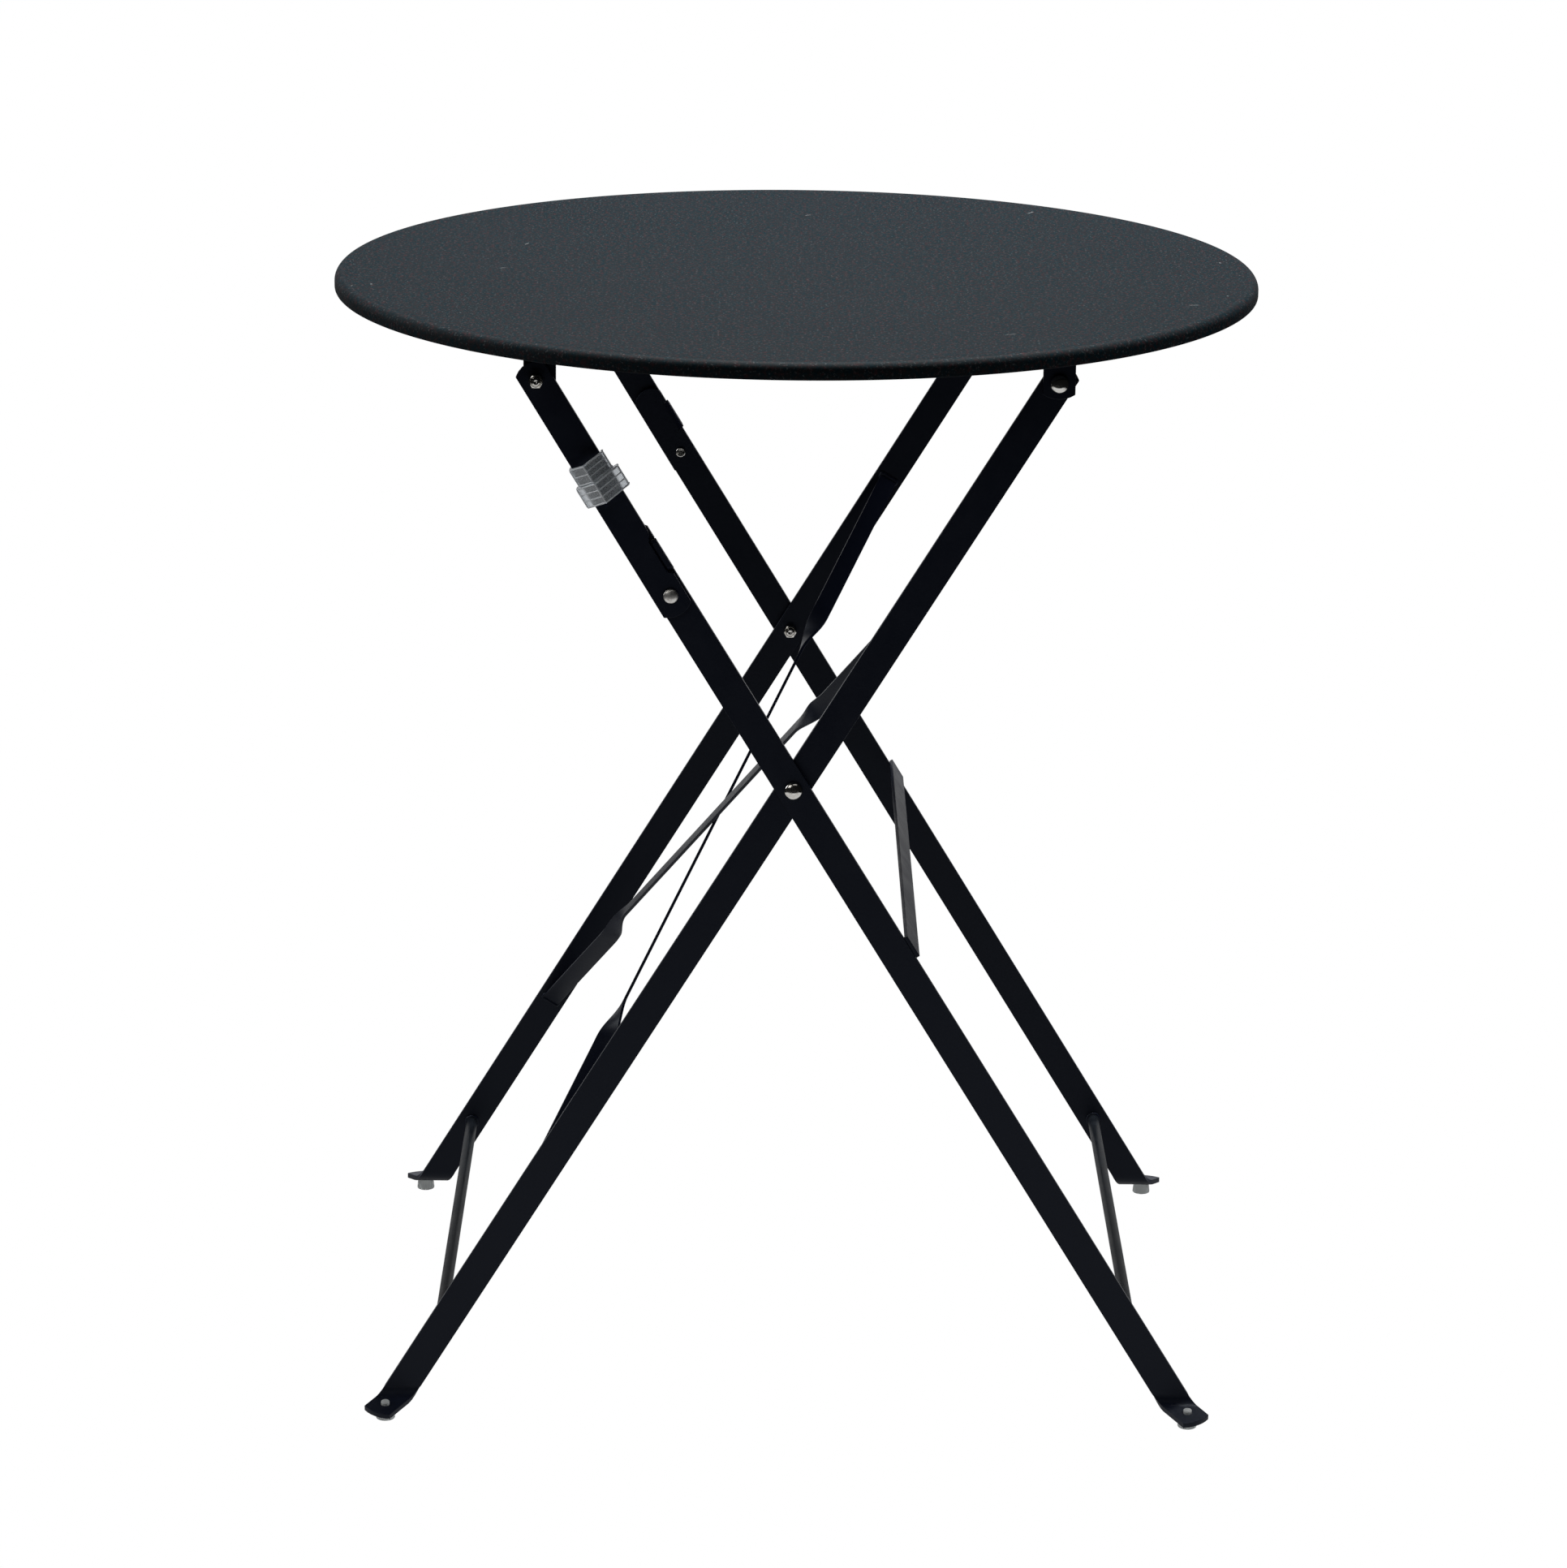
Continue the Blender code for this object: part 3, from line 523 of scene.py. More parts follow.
def tabletop_coat():
    """Charcoal textured powder coat: bluish and reddish grain, pale dust, marks, fine orange peel."""
    material, tree, shader = new_material("tabletop_coat")
    place = coordinates(tree)
    noises = {kind: noise_of(tree, place, *sizes) for kind, sizes in TOP_NOISES.items()}
    colour = TOP_BASE
    for kind, start, full, strength, tint in TOP_TINTS:
        share = remap(tree, noises[kind], start, full, 0.0, strength)
        colour = mix_colour(tree, share, colour, tint)
    colour = mix_colour(tree, specks(tree, place, *TOP_SPECKS), colour, TOP_SPECK)
    for mark in TOP_MARKS:
        colour = mix_colour(tree, stroke(tree, place, mark), colour, TOP_MARK)
    put(tree, shader.inputs["Base Color"], colour)
    rim = remap(tree, distance_from_axis(tree, place), RIM_START, RIM_START + RIM_BLEND)
    rough = remap(tree, noises["blotch"], *NOISE_SPAN, *TOP_ROUGHNESS)
    smoother = maths(tree, "MULTIPLY", rim, RIM_SMOOTHER)
    put(tree, shader.inputs["Roughness"], maths(tree, "SUBTRACT", rough, smoother))
    put(tree, shader.inputs["Specular IOR Level"], remap(tree, rim, 0.0, 1.0, *TOP_SPECULAR))
    first = bump(tree, noises["peel"], *TOP_BUMPS["peel"])
    put(tree, shader.inputs["Normal"], bump(tree, noises["grain"], *TOP_BUMPS["grain"], first))
    return material


def frame_coat(name, plain, rubbed, specular):
    """Near-black satin powder coat with a blue cast, fine grain and a few rubbed patches."""
    material, tree, shader = new_material(name)
    place = coordinates(tree)
    noises = {kind: noise_of(tree, place, *sizes) for kind, sizes in FRAME_NOISES.items()}
    grain, patch = noises["grain"], noises["patch"]
    colour = mix_colour(tree, remap(tree, patch, *FRAME_RUBBED), plain, rubbed)
    colour = mix_colour(tree, remap(tree, grain, *FRAME_PALE), colour, FRAME_GRAIN)
    colour = mix_colour(tree, specks(tree, place, *FRAME_SPECKS), colour, FRAME_SPECK)
    put(tree, shader.inputs["Base Color"], colour)
    rough = remap(tree, patch, *FRAME_ROUGHNESS)
    fine = remap(tree, grain, *NOISE_SPAN, *FRAME_ROUGH_GRAIN)
    put(tree, shader.inputs["Roughness"], maths(tree, "ADD", rough, fine))
    shader.inputs["Specular IOR Level"].default_value = specular
    shader.inputs["Specular Tint"].default_value = FRAME_TINT
    first = bump(tree, noises["peel"], *FRAME_BUMPS["peel"])
    put(tree, shader.inputs["Normal"], bump(tree, grain, *FRAME_BUMPS["grain"], first))
    return material


def plated_steel(name, smooth, rough):
    """Bright zinc plate with faint smudges and a fine satin texture."""
    material, tree, shader = new_material(name)
    place = coordinates(tree)
    smudge, fine = [noise_of(tree, place, *sizes) for sizes in ZINC_NOISES.values()]
    colour = mix_colour(tree, remap(tree, smudge, *ZINC_SMUDGE), *ZINC)
    put(tree, shader.inputs["Base Color"], colour)
    put(tree, shader.inputs["Roughness"], remap(tree, smudge, *NOISE_SPAN, smooth, rough))
    shader.inputs["Metallic"].default_value = 1.0
    put(tree, shader.inputs["Normal"], bump(tree, fine, *ZINC_BUMP))
    return material


def plastic(name):
    """Moulded plastic with a cloudy colour, scuffs and a faint relief."""
    look = PLASTICS[name]
    material, tree, shader = new_material(name)
    place = coordinates(tree)
    noises = {kind: noise_of(tree, place, *look[kind]) for kind in ("cloud", "scuff")}
    put(tree, shader.inputs["Base Color"], mix_colour(tree, noises["cloud"], *look["colours"]))
    rough = remap(tree, noises["scuff"], *NOISE_SPAN, *look["roughness"])
    put(tree, shader.inputs["Roughness"], rough)
    shader.inputs["Transmission Weight"].default_value = look["transmission"]
    shader.inputs["IOR"].default_value = look["refraction"]
    put(tree, shader.inputs["Normal"], bump(tree, noises[look["relief"]], *look["bump"]))
    return material


MATERIALS = {"tabletop_coat": tabletop_coat()}
MATERIALS.update({name: plastic(name) for name in PLASTICS})
MATERIALS.update({name: frame_coat(name, *coat) for name, coat in FRAME_COATS.items()})
MATERIALS.update({name: plated_steel(name, *steel) for name, steel in STEELS.items()})


# ------------------------------------------------------------------ CAD nodes that stay

def finish_node(node):
    """Give a CAD node its detailed material and lightly rounded edges."""
    piece = frame["nodes"][node]
    piece.material_slots[0].material = MATERIALS["frame_coat"]
    weld = piece.modifiers.new("weld", "WELD")
    weld.merge_threshold = 0.00001
    bevel = piece.modifiers.new("edges", "BEVEL")
    bevel.width = EDGE_ROUND
    bevel.segments = EDGE_STEPS
    bevel.limit_method = "ANGLE"
    bevel.angle_limit = EDGE_ANGLE
    normals = piece.modifiers.new("normals", "WEIGHTED_NORMAL")
    normals.keep_sharp = False
    normals.weight = 100


# ------------------------------------------------------------------ tabletop

def make_tabletop():
    """Pressed top: flat sheet, faint crease where the rolled rim starts, short skirt, folded hem."""
    low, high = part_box("tabletop")
    edge = radius_of("tabletop")
    hem = HEM_THICK / 2
    skirt = low.z - high.z + hem
    crease = edge - RIM_ROLL
    centre = (-RIM_ROLL, crease)
    profile = [(-SHEET, TOP_MIDDLE), (-SHEET, TOP_RINGS[0]), (-SHEET, crease - CREASE_LEAD)]
    profile += arc(centre, RIM_ROLL - SHEET, 90, 0, INNER_ROLL_STEPS)
    profile += [(skirt + hem, edge - SHEET), (skirt + hem, edge - HEM_THICK)]
    profile += arc((skirt, edge - hem), hem, -180, 0, HEM_STEPS)
    profile += arc(centre, RIM_ROLL, 0, ROUND_END, ROLL_STEPS)
    profile += [(-CREASE_DEPTH, crease - CREASE_WIDTH / 2), (0.0, crease - CREASE_WIDTH)]
    profile += [(0.0, crease - CREASE_LEAD), (0.0, TOP_RINGS[1]), (0.0, TOP_RINGS[0]), (0.0, TOP_MIDDLE)]
    base = Vector((0.0, 0.0, high.z))
    bm = turned(base, UP, profile, TOP_STEPS)
    add_piece("top_pressing", bm, MATERIALS["tabletop_coat"], "tabletop", ["tabletop"])


# ------------------------------------------------------------------ fasteners

def dome(height, radius, rise, steps=DOME_STEPS):
    """Rounded top of a head, as (height, radius) pairs."""
    points = []
    for step in range(steps + 1):
        angle = math.radians(ROUND_END) * step / steps
        points.append((height + rise * math.sin(angle), radius * math.cos(angle)))
    return points


def span(node, side):
    """Lowest and highest distance of a node from the middle plane, measured outwards on its side."""
    low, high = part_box(node)
    return sorted((side * low.y, side * high.y))


def bolt_end(tail):
    """Chamfered thread end with a forged dimple, as a profile that starts at the tip."""
    profile = [(tail + height, radius) for height, radius in BOLT_TIP]
    for turn in range(THREAD_TURNS):
        start = tail + THREAD_START + THREAD_PITCH * turn
        profile += [(start + THREAD_PITCH * share, SHANK_RADIUS - depth) for share, depth in THREAD_SHAPE]
    return profile


def make_bolt(node, pin, side, body, head_outward):
    """Button-headed bolt. Its head is on the outer or the inner end."""
    inner, outer = span(node, side)
    radius = radius_of(node)
    sign = side if head_outward else -side
    axis = Vector((0.0, sign, 0.0))
    tail, top = (inner, outer) if head_outward else (-outer, -inner)
    seat = top - HEAD_HEIGHT
    start = seat + HEAD_ROUND + HEAD_SIDE
    profile = bolt_end(tail) + [(seat, SHANK_RADIUS), (seat, radius - HEAD_ROUND - HEAD_INSET)]
    profile += arc((seat + HEAD_ROUND, radius - HEAD_ROUND), HEAD_ROUND, -90, 0, SMALL_ROUND_STEPS)
    profile += dome(start, radius, top - start)
    bm = turned(pin, axis, profile)
    add_piece(node + "_turned", bm, MATERIALS["plated_steel"], body, [node])


def make_nut(node, pin, side, body, outward):
    """Hexagon nut with chamfered corners and a countersunk thread."""
    inner, outer = span(node, side)
    sign = side if outward else -side
    axis = Vector((0.0, sign, 0.0))
    seat, top = (inner, outer) if outward else (-outer, -inner)
    flats = NUT_FLATS / 2
    bore = SHANK_RADIUS + GAP
    depth, width = BORE_TOP_CHAMFER
    profile = [(seat + BORE_SEAT_CHAMFER, bore), (seat, bore + BORE_SEAT_CHAMFER)]
    profile += [(seat, flats * NUT_SEAT_SHARE), (seat + NUT_SEAT_RISE, flats, NUT_SLOPE)]
    profile += [(top - NUT_TOP_DROP, flats, -NUT_SLOPE), (top, flats * NUT_TOP_SHARE)]
    profile += [(top, bore + width), (top - depth, bore)]
    bm = turned(pin, axis, profile, capped=False)
    add_piece(node + "_hex", bm, MATERIALS["plated_steel"], body, [node])


def make_rivet_head(side, where):
    """Domed outer half of the elbow rivet."""
    node = "elbow_rivet_" + where
    inner, outer = span(node, side)
    radius = radius_of(node)
    seat = outer - RIVET_HEAD_HEIGHT
    start = seat + RIVET_SIDE
    profile = [(inner, RIVET_RADIUS), (seat, RIVET_RADIUS), (seat, radius - RIVET_FOOT_INSET)]
    foot = (seat + RIVET_FOOT_ROUND, radius - RIVET_FOOT_ROUND)
    profile += arc(foot, RIVET_FOOT_ROUND, -90, 0, SMALL_ROUND_STEPS)
    profile += dome(start, radius, outer - start)
    bm = turned(pin_of(node), Vector((0.0, side, 0.0)), profile)
    body = "upper_link_" + where
    add_piece(node + "_turned", bm, MATERIALS["satin_steel"], body, [node])


def make_rivet_end(side, where):
    """Rolled-over inner end of the elbow rivet."""
    node = "elbow_rivet_end_" + where
    inner, outer = span(node, side)
    middle = inner + RIVET_ROLL
    profile = [(middle + height, reach) for height, reach in RIVET_CUP]
    profile += arc((middle, radius_of(node) - RIVET_ROLL), RIVET_ROLL, -90, 90, HEM_STEPS)
    profile += [(middle + RIVET_ROLL, RIVET_RADIUS), (outer, RIVET_RADIUS)]
    bm = turned(pin_of(node), Vector((0.0, side, 0.0)), profile)
    add_piece(node + "_rolled", bm, MATERIALS["plated_steel"], "outer_frame", [node])


def make_glide(node, side, body):
    """Glide foot, flat on the floor and sloped on top, and its peg through the bent foot."""
    low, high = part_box(node)
    below = Vector(((low.x + high.x) / 2, (low.y + high.y) / 2, 0.0))
    radius = radius_of(node)
    under = below + UP * GLIDE_THICK
    axis = Vector((0.0, side * math.cos(FOOT_TURN), math.sin(FOOT_TURN)))
    tip = 2 * GAP + BAR_THICK + PEG_PROUD
    foot, top = radius - GLIDE_FOOT_ROUND, radius - GLIDE_TOP_INSET
    profile = [(0.0, radius - GLIDE_FOOT_INSET)]
    profile += arc((GLIDE_FOOT_ROUND, foot), GLIDE_FOOT_ROUND, -80, 10, GLIDE_STEPS)
    rings = [ring(below, UP, point, FINE_STEPS) for point in profile]
    shoulder = arc((-GLIDE_TOP_ROUND, top), GLIDE_TOP_ROUND, 10, 85, SMALL_ROUND_STEPS)
    shoulder += [(0.0, PEG_RADIUS + PEG_FOOT), (PEG_FOOT_RISE, PEG_RADIUS)]
    shoulder += dome(tip - PEG_DOME, PEG_RADIUS, PEG_DOME, PEG_STEPS)
    rings += [ring(under, axis, point, FINE_STEPS) for point in shoulder]
    add_piece(node + "_moulded", loft(rings), MATERIALS["glide_plastic"], body, [node])


# ------------------------------------------------------------------ braces, rods and welds

def rounded_section(centre, wide, thin, corner):
    """Points round a rectangle with rounded corners, from its two half-width vectors."""
    points = []
    across, through = wide.normalized(), thin.normalized()
    for number, (u, v) in enumerate([(1, 1), (-1, 1), (-1, -1), (1, -1)]):
        middle = centre + (wide * u) * (1 - corner / wide.length)
        middle += (thin * v) * (1 - corner / thin.length)
        for step in range(CORNER_STEPS + 1):
            angle = (number + step / CORNER_STEPS) * math.pi / 2
            points.append(middle + (across * math.cos(angle) + through * math.sin(angle)) * corner)
    return points


def brace_section(place, heading, reach, turn, lap):
    """Section of a brace, twisted and shifted by its distance from the welded end."""
    share = min(max((reach - BRACE_PLAIN) / BRACE_TWIST, 0.0), 1.0)
    share = share * share * (3 - 2 * share)
    flat = heading.cross(INNER_ACROSS).normalized()
    flat *= math.copysign(1.0, flat.y)
    angle = turn * share
    wide = (INNER_ACROSS * math.cos(angle) - flat * math.sin(angle)) * (BRACE_WIDTH / 2)
    thin = (flat * math.cos(angle) + INNER_ACROSS * math.sin(angle)) * (BRACE_THICK / 2)
    return rounded_section(place + INNER_ACROSS * (lap * share), wide, thin, EDGE_ROUND)


def flush(section, heading, depth):
    """Slide an end section along its heading until it lies on the leg's inner face."""
    return [point + heading * ((depth - point.y) / heading.y) for point in section]


def make_brace(node):
    """Twisted strip between the inner legs, with weld beads at both ends."""
    side, turn, lap = BRACES[node]
    depth = side * (INNER_LAYER - BAR_THICK / 2 - GAP)
    upper = CROSS - INNER_UP * BRACE_TOP + Vector((0.0, depth, 0.0))
    lower = CROSS - INNER_UP * BRACE_BOTTOM - Vector((0.0, depth, 0.0))
    heading = (lower - upper).normalized()
    reaches = [BRACE_PLAIN + BRACE_TWIST * step / TWIST_STEPS for step in range(TWIST_STEPS + 1)]
    ends = [flush(brace_section(upper, heading, 0.0, turn, lap), heading, depth)]
    ends.append(flush(brace_section(lower, heading, 0.0, turn, lap), heading, -depth))
    rings = [ends[0]] + [brace_section(upper + heading * r, heading, r, turn, lap) for r in reaches]
    rings += [brace_section(lower - heading * r, heading, r, turn, lap) for r in reversed(reaches)]
    bm = loft(rings + [ends[1]])
    add_piece(node + "_strip", bm, MATERIALS["frame_coat"], "inner_frame", [node])
    for number, outline in enumerate(ends):
        add_weld(f"{node}_weld_{number + 1}", outline, "inner_frame")


def even_path(outline):
    """Evenly spaced points along a closed outline."""
    count = len(outline)
    total = sum((outline[i] - outline[i - 1]).length for i in range(count))
    steps = max(BEAD_STEPS, int(total / BEAD_STEP))
    path = []
    for step in range(steps):
        want = total * step / steps
        at = 0
        while want > (outline[(at + 1) % count] - outline[at]).length:
            want -= (outline[(at + 1) % count] - outline[at]).length
            at += 1
        gap = outline[(at + 1) % count] - outline[at]
        path.append(outline[at] + gap * (want / gap.length))
    return path


def add_weld(name, outline, body):
    """Lumpy weld bead round a closed outline."""
    centre = sum(outline, Vector()) / len(outline)
    path = even_path(outline)
    rings = []
    for i in range(len(path)):
        ahead = (path[(i + 1) % len(path)] - path[i - 1]).normalized()
        out = (path[i] - centre).normalized()
        side = ahead.cross(out).normalized()
        out = side.cross(ahead)
        size = BEAD * (1.0 + BEAD_LUMPS * noise.noise(path[i] * BEAD_LUMP_SCALE))
        rings.append(circle(path[i], out, side, size, BEAD_ROUND))
    add_piece(name, loft(rings, capped=False), MATERIALS["frame_coat"], body)


def make_rod(node, layer, body):
    """Round rod between two legs, with slightly eased ends and a weld bead round each."""
    low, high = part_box(node)
    middle = (low + high) / 2
    axis = Vector((0.0, 1.0, 0.0))
    reach = (high.y - low.y) / 2
    profile = [(-reach, ROD_RADIUS - ROD_EASE), (-reach + ROD_EASE, ROD_RADIUS)]
    for step in range(1, ROD_STATIONS):
        place = reach * (2 * step / ROD_STATIONS - 1)
        wave = noise.noise(Vector((place * ROD_WAVE_SCALE, layer, 0.0)))
        profile.append((place, ROD_RADIUS + ROD_WAVE * wave))
    profile += [(reach - ROD_EASE, ROD_RADIUS), (reach, ROD_RADIUS - ROD_EASE)]
    bm = turned(middle, axis, profile, ROD_STEPS)
    # the rods' coat is the frame's paint darkened, as painted shade
    add_piece(node + "_drawn", bm, MATERIALS["rod_coat_painted_shade"], body, [node])
    for where, side in SIDES.items():
        outline = ring(middle, axis, (side * (reach - ROD_BEAD_INSET), ROD_RADIUS), ROD_BEAD_STEPS)
        add_weld(f"{node}_weld_{where}", outline, body)


def make_crossbar_welds():
    """Short beads where the crossbar lies on the edges of the outer legs."""
    edge = CROSS - OUTER_UP * CROSSBAR_DROP + OUTER_ACROSS * (BAR_WIDTH / 2 + GAP)
    half = CROSSBAR_WIDTH / 2 - BAR_BEAD_INSET
    for where, side in SIDES.items():
        inner = side * (OUTER_LAYER - BAR_THICK / 2)
        outline = []
        for step in range(BAR_BEAD_STEPS):
            angle = 2 * math.pi * step / BAR_BEAD_STEPS
            along = OUTER_UP * (half * math.cos(angle))
            outline.append(edge + along + Vector((0.0, inner + BAR_BEAD_WIDTH * math.sin(angle), 0.0)))
        add_weld("outer_crossbar_weld_" + where, outline, "outer_frame")


# ------------------------------------------------------------------ storage clip

def clip_point(distance, across, out):
    """A point of the clip, from its distance up the outer leg's line, across it and out of the link."""
    face = LINK_LAYER + BAR_THICK / 2
    return CROSS + OUTER_UP * distance + OUTER_ACROSS * across + Vector((0.0, -face - out, 0.0))


def clip_section(distance_out, distance_in, section, hooked):
    """Outline of the clip's wall, with its outer points at one distance and its inner ones at another."""
    left, right, ridge, peak = section
    foot, wall, shoulder = -BAR_THICK, CLIP_WALL, CLIP_SHOULDER
    if hooked:
        back = foot - GAP
        hook = [(left + CLIP_HOOK, back - wall), (left, back - wall)]
        hook += [(left + wall, back), (left + CLIP_HOOK, back)]
    else:
        hook = [(left + wall / 3, foot), (left, foot), (left + wall, foot), (left + wall * 2 / 3, foot)]
    outer = hook[:2] + [(left, shoulder), (ridge, peak), (right, shoulder), (right, foot)]
    inner = [(right - wall, foot), (right - wall, shoulder - wall / 2), (ridge, peak - 2 * wall)]
    inner += [(left + wall, shoulder - wall / 2)] + hook[2:]
    points = [clip_point(distance_out, u, v) for u, v in outer]
    return points + [clip_point(distance_in, u, v) for u, v in inner]


def add_rib(bm, start, end, width):
    """Add a round rib between two points to a bmesh."""
    axis = (end - start).normalized()
    helper = Vector((0.0, 1.0, 0.0)).cross(axis)
    if helper.length < 0.1:
        helper = UP.cross(axis)
    helper.normalize()
    other = axis.cross(helper)
    rings = []
    for place, share in RIB_TAPER:
        rings.append(circle(start.lerp(end, place), helper, other, width * share / 2, RIB_ROUND))
    loft(rings, bm=bm)


def make_clip_shell(top, step, bottom):
    """Clear shell of the clip, in two steps."""
    rings = [clip_section(top, top, CLIP_UPPER_SECTION, True)]
    rings.append(clip_section(step, step - CLIP_WALL, CLIP_UPPER_SECTION, True))
    rings.append(clip_section(step, step - CLIP_WALL, CLIP_LOWER_SECTION, False))
    rings.append(clip_section(bottom, bottom, CLIP_LOWER_SECTION, False))
    shell = add_piece("storage_clip_shell", loft(rings), MATERIALS["clear_plastic"],
                      "upper_link_near", ["storage_clip"], SHELL_ANGLE)
    bevel = shell.modifiers.new("edges", "BEVEL")
    bevel.width = SHELL_ROUND
    bevel.segments = EDGE_STEPS


def add_step_ribs(bm, start, end, section, windows):
    """Ribs and edges of one step of the clip."""
    left, right, ridge, peak = section
    low, thin = CLIP_SHOULDER, RIB_WIDTH * RIB_THIN
    inset = RIB_WIDTH * RIB_INSET
    a, b = start - RIB_WIDTH / 2, end + RIB_WIDTH / 2
    for across, out in [(left, low), (ridge, peak - inset), (right, low)]:
        add_rib(bm, clip_point(a, across, out), clip_point(b, across, out), RIB_WIDTH)
    for foot, count in zip((left, right), windows):
        for number in range(count + 1):
            at = a + (b - a) * number / count
            width = RIB_WIDTH if number in (0, count) else thin
            add_rib(bm, clip_point(at, foot, low), clip_point(at, ridge, peak - inset), width)
    for foot in (left, right):
        for at in (a, b):
            add_rib(bm, clip_point(at, foot, inset - BAR_THICK), clip_point(at, foot, low), thin)


def make_clip():
    """Two-step ridged clip: a clear shell, and the frosted ribs and edges that divide its windows."""
    top = (PIN_LINK - CROSS).length - CLIP_DROP
    step = top - CLIP_UPPER
    bottom = step - CLIP_LOWER
    make_clip_shell(top, step, bottom)
    bm = bmesh.new()
    add_step_ribs(bm, top, step, CLIP_UPPER_SECTION, CLIP_WINDOWS["upper"])
    add_step_ribs(bm, step, bottom, CLIP_LOWER_SECTION, CLIP_WINDOWS["lower"])
    add_piece("storage_clip_ribs", bm, MATERIALS["frosted_plastic"], "upper_link_near")


for node, piece in frame["nodes"].items():
    if piece.material_slots[0].material.name.startswith("frame_coat"):
        finish_node(node)
make_tabletop()
make_brace("brace_front")
make_brace("brace_back")
make_rod("inner_foot_rod", INNER_LAYER, "inner_frame")
make_rod("outer_foot_rod", OUTER_LAYER, "outer_frame")
make_crossbar_welds()
make_clip()
for where, side in SIDES.items():
    make_bolt("cross_bolt_" + where, CROSS, side, "inner_frame", True)
    make_nut("cross_nut_" + where, CROSS, side, "inner_frame", False)
    make_bolt("top_hinge_bolt_" + where, PIN_LEG, side, "inner_frame", True)
    make_nut("top_hinge_nut_" + where, PIN_LEG, side, "inner_frame", False)
    make_bolt("link_bolt_" + where, PIN_LINK, side, "tabletop", False)
    make_nut("link_nut_" + where, PIN_LINK, side, "tabletop", True)
    make_rivet_head(side, where)
    make_rivet_end(side, where)
    make_glide("inner_glide_" + where, side, "inner_frame")
    make_glide("outer_glide_" + where, side, "outer_frame")


# ------------------------------------------------------------------ stage

def glow_material(name, colour, strength):
    """A plain emission of one colour."""
    material, tree, shader = new_material(name)
    tree.nodes.remove(shader)
    glow = tree.nodes.new("ShaderNodeEmission")
    glow.inputs["Color"].default_value = colour
    glow.inputs["Strength"].default_value = strength
    put(tree, tree.nodes["Material Output"].inputs["Surface"], glow.outputs["Emission"])
    return material


def add_stage(name, bm, material, camera, glossy):
    """A stage surface that the camera or the reflections see, and that lights and shades nothing."""
    mesh = bpy.data.meshes.new(name)
    bm.to_mesh(mesh)
    bm.free()
    mesh.materials.append(material)
    obj = bpy.data.objects.new(name, mesh)
    bpy.context.scene.collection.objects.link(obj)
    obj.visible_camera = camera
    obj.visible_glossy = glossy
    obj.visible_transmission = True
    obj.visible_diffuse = False
    obj.visible_shadow = False


def square(reach, height):
    """A level square round the middle of the table."""
    bm = bmesh.new()
    corners = [(-reach, -reach), (reach, -reach), (reach, reach), (-reach, reach)]
    bm.faces.new([bm.verts.new((x, y, height)) for x, y in corners])
    return bm


def upright(middle, width, height):
    """A rectangle with level edges that faces the middle of the table."""
    facing = CROSS - middle
    side = UP.cross(facing).normalized() * (width / 2)
    rise = facing.cross(side).normalized() * (height / 2)
    bm = bmesh.new()
    corners = [-side - rise, side - rise, side + rise, -side + rise]
    bm.faces.new([bm.verts.new(middle + corner) for corner in corners])
    return bm


def make_floor():
    """Plain white floor and backdrop, for the camera only."""
    white = glow_material("studio_white", WHITE, 1.0)
    add_stage("floor", square(FLOOR_REACH, FLOOR_LEVEL), white, True, False)
    sky = bmesh.new()
    bmesh.ops.create_uvsphere(sky, u_segments=32, v_segments=16, radius=DOME_RADIUS)
    add_stage("backdrop", sky, white, True, False)


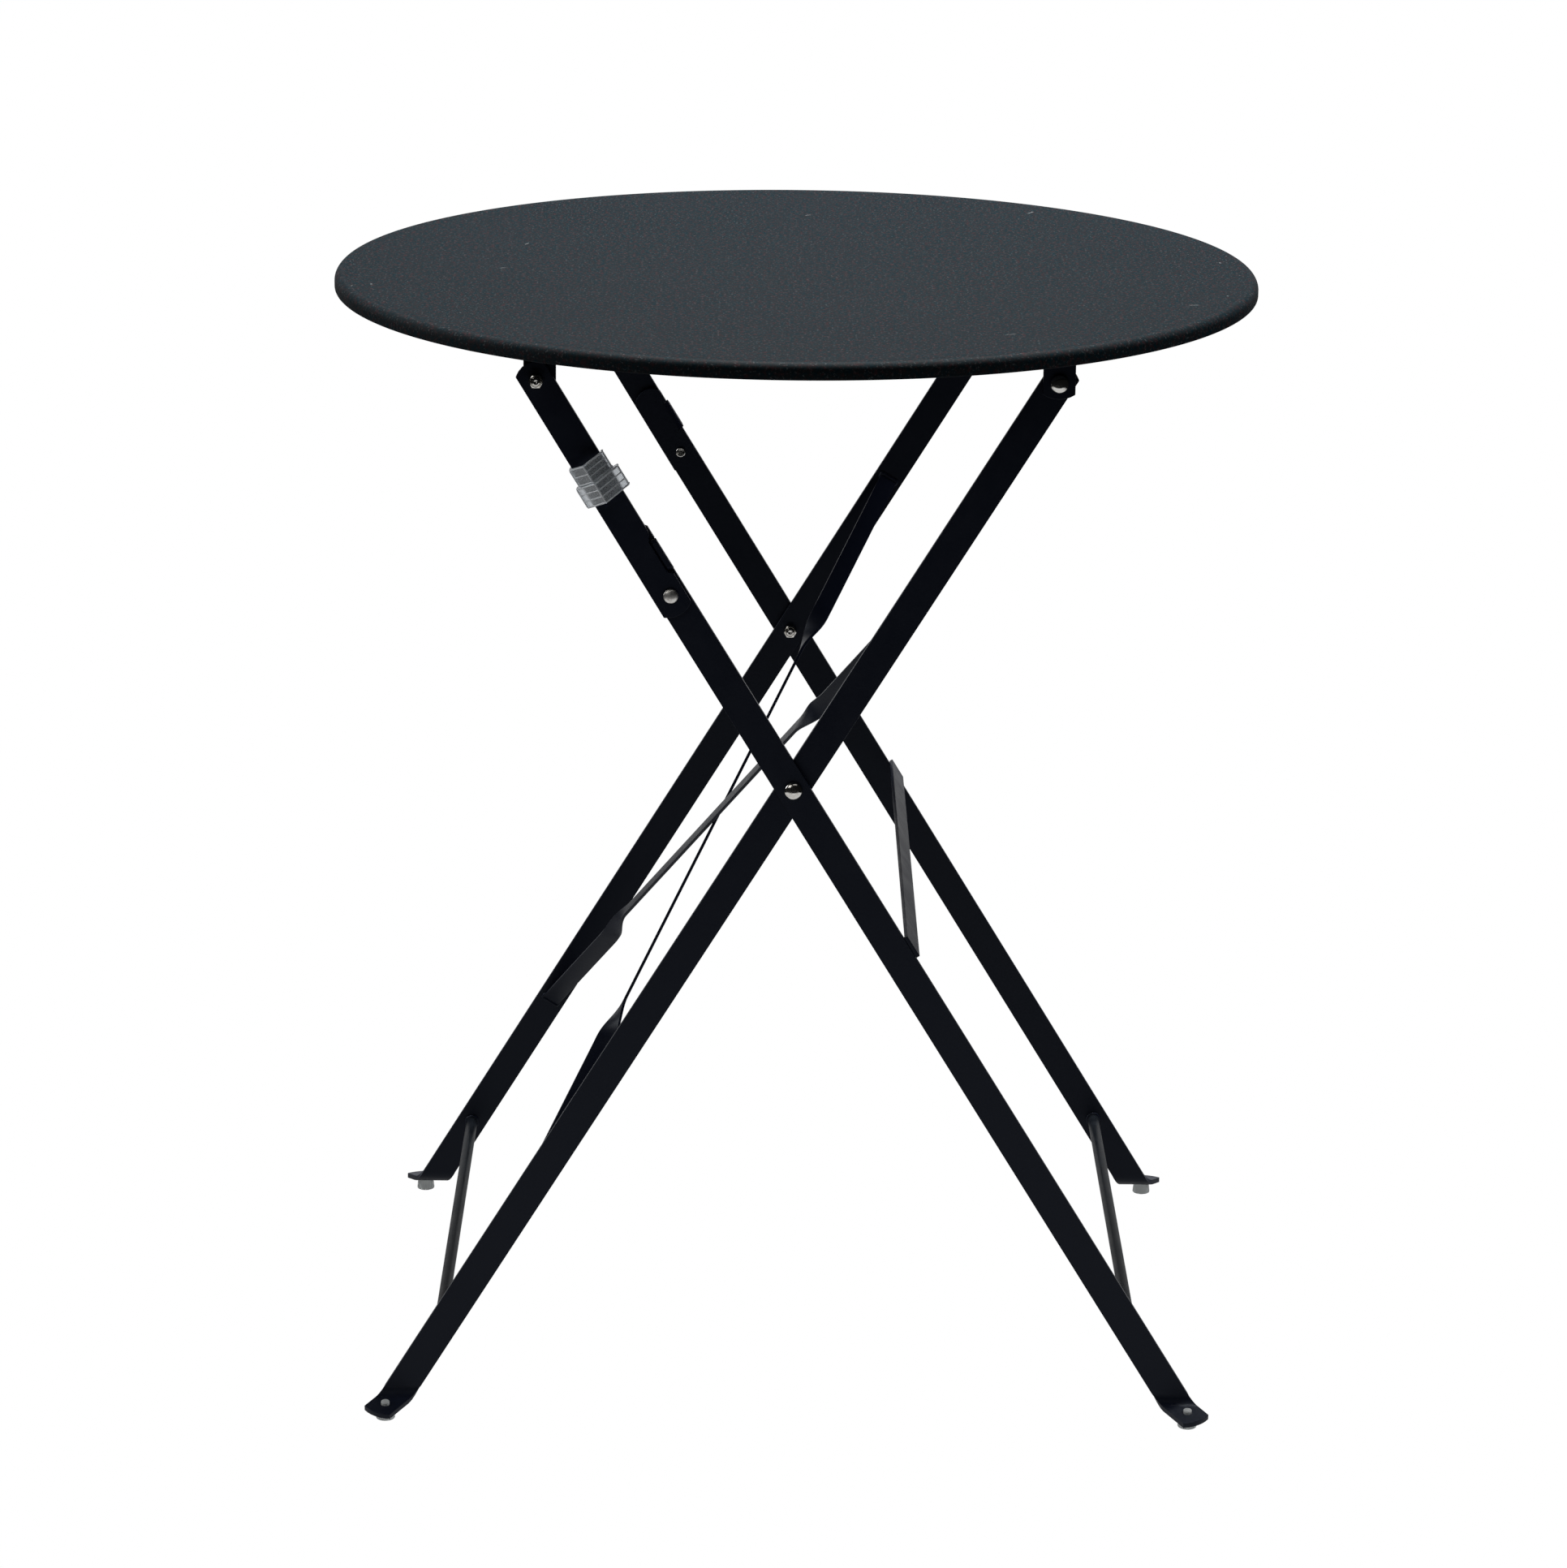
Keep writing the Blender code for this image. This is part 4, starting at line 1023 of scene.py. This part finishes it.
def make_reflectors():
    """Paper, wall and cards, for the reflections only."""
    paper = glow_material("white_paper", WHITE, PAPER_GLOW)
    add_stage("paper", square(PAPER_REACH, PAPER_LEVEL), paper, False, True)
    wall = upright(Vector((0.0, WALL_PLACE, WALL_HEIGHT / 2)), 2 * WALL_REACH, WALL_HEIGHT)
    add_stage("wall", wall, glow_material("white_wall", WHITE, WALL_GLOW), False, True)
    for name, (middle, width, height, glow) in CARDS.items():
        card = glow_material(name + "_glow", CARD_WHITE, glow)
        add_stage(name, upright(Vector(middle), width, height), card, False, True)


def make_world():
    """Faint even light from all round."""
    world = bpy.data.worlds.new("studio")
    world.use_nodes = True
    world.node_tree.nodes["Background"].inputs["Color"].default_value = WHITE
    world.node_tree.nodes["Background"].inputs["Strength"].default_value = WORLD_GLOW
    bpy.context.scene.world = world


def make_lights():
    """Soft area lights, hidden from the camera."""
    for name, (place, aim, width, height, power) in LIGHTS.items():
        data = bpy.data.lights.new(name, "AREA")
        data.shape = "RECTANGLE"
        data.size = width
        data.size_y = height
        data.energy = power
        light = bpy.data.objects.new(name, data)
        light.location = place
        light.rotation_euler = (Vector(aim) - Vector(place)).to_track_quat("-Z", "Y").to_euler()
        light.visible_camera = False
        light.visible_glossy = name not in DULL_LIGHTS
        bpy.context.scene.collection.objects.link(light)


def make_camera():
    """Camera on the near side, a little above the top, without shift or depth of field."""
    data = bpy.data.cameras.new("camera")
    data.sensor_fit = "HORIZONTAL"
    data.sensor_width = CAMERA_SENSOR
    data.lens = CAMERA_LENS
    data.clip_start, data.clip_end = CAMERA_CLIP
    level = math.cos(CAMERA_PITCH)
    east, north = math.sin(CAMERA_YAW), math.cos(CAMERA_YAW)
    forward = Vector((east * level, north * level, -math.sin(CAMERA_PITCH)))
    right = Vector((north, -east, 0.0))
    up = right.cross(forward)
    turn, tilt = math.cos(CAMERA_ROLL), math.sin(CAMERA_ROLL)
    columns = (right * turn + up * tilt, up * turn - right * tilt, -forward)
    camera = bpy.data.objects.new("camera", data)
    camera.matrix_world = Matrix.Translation(CAMERA_PLACE) @ Matrix(columns).transposed().to_4x4()
    bpy.context.scene.collection.objects.link(camera)
    bpy.context.scene.camera = camera
    bpy.context.scene.view_settings.view_transform = "Standard"


make_floor()
make_reflectors()
make_world()
make_lights()
make_camera()
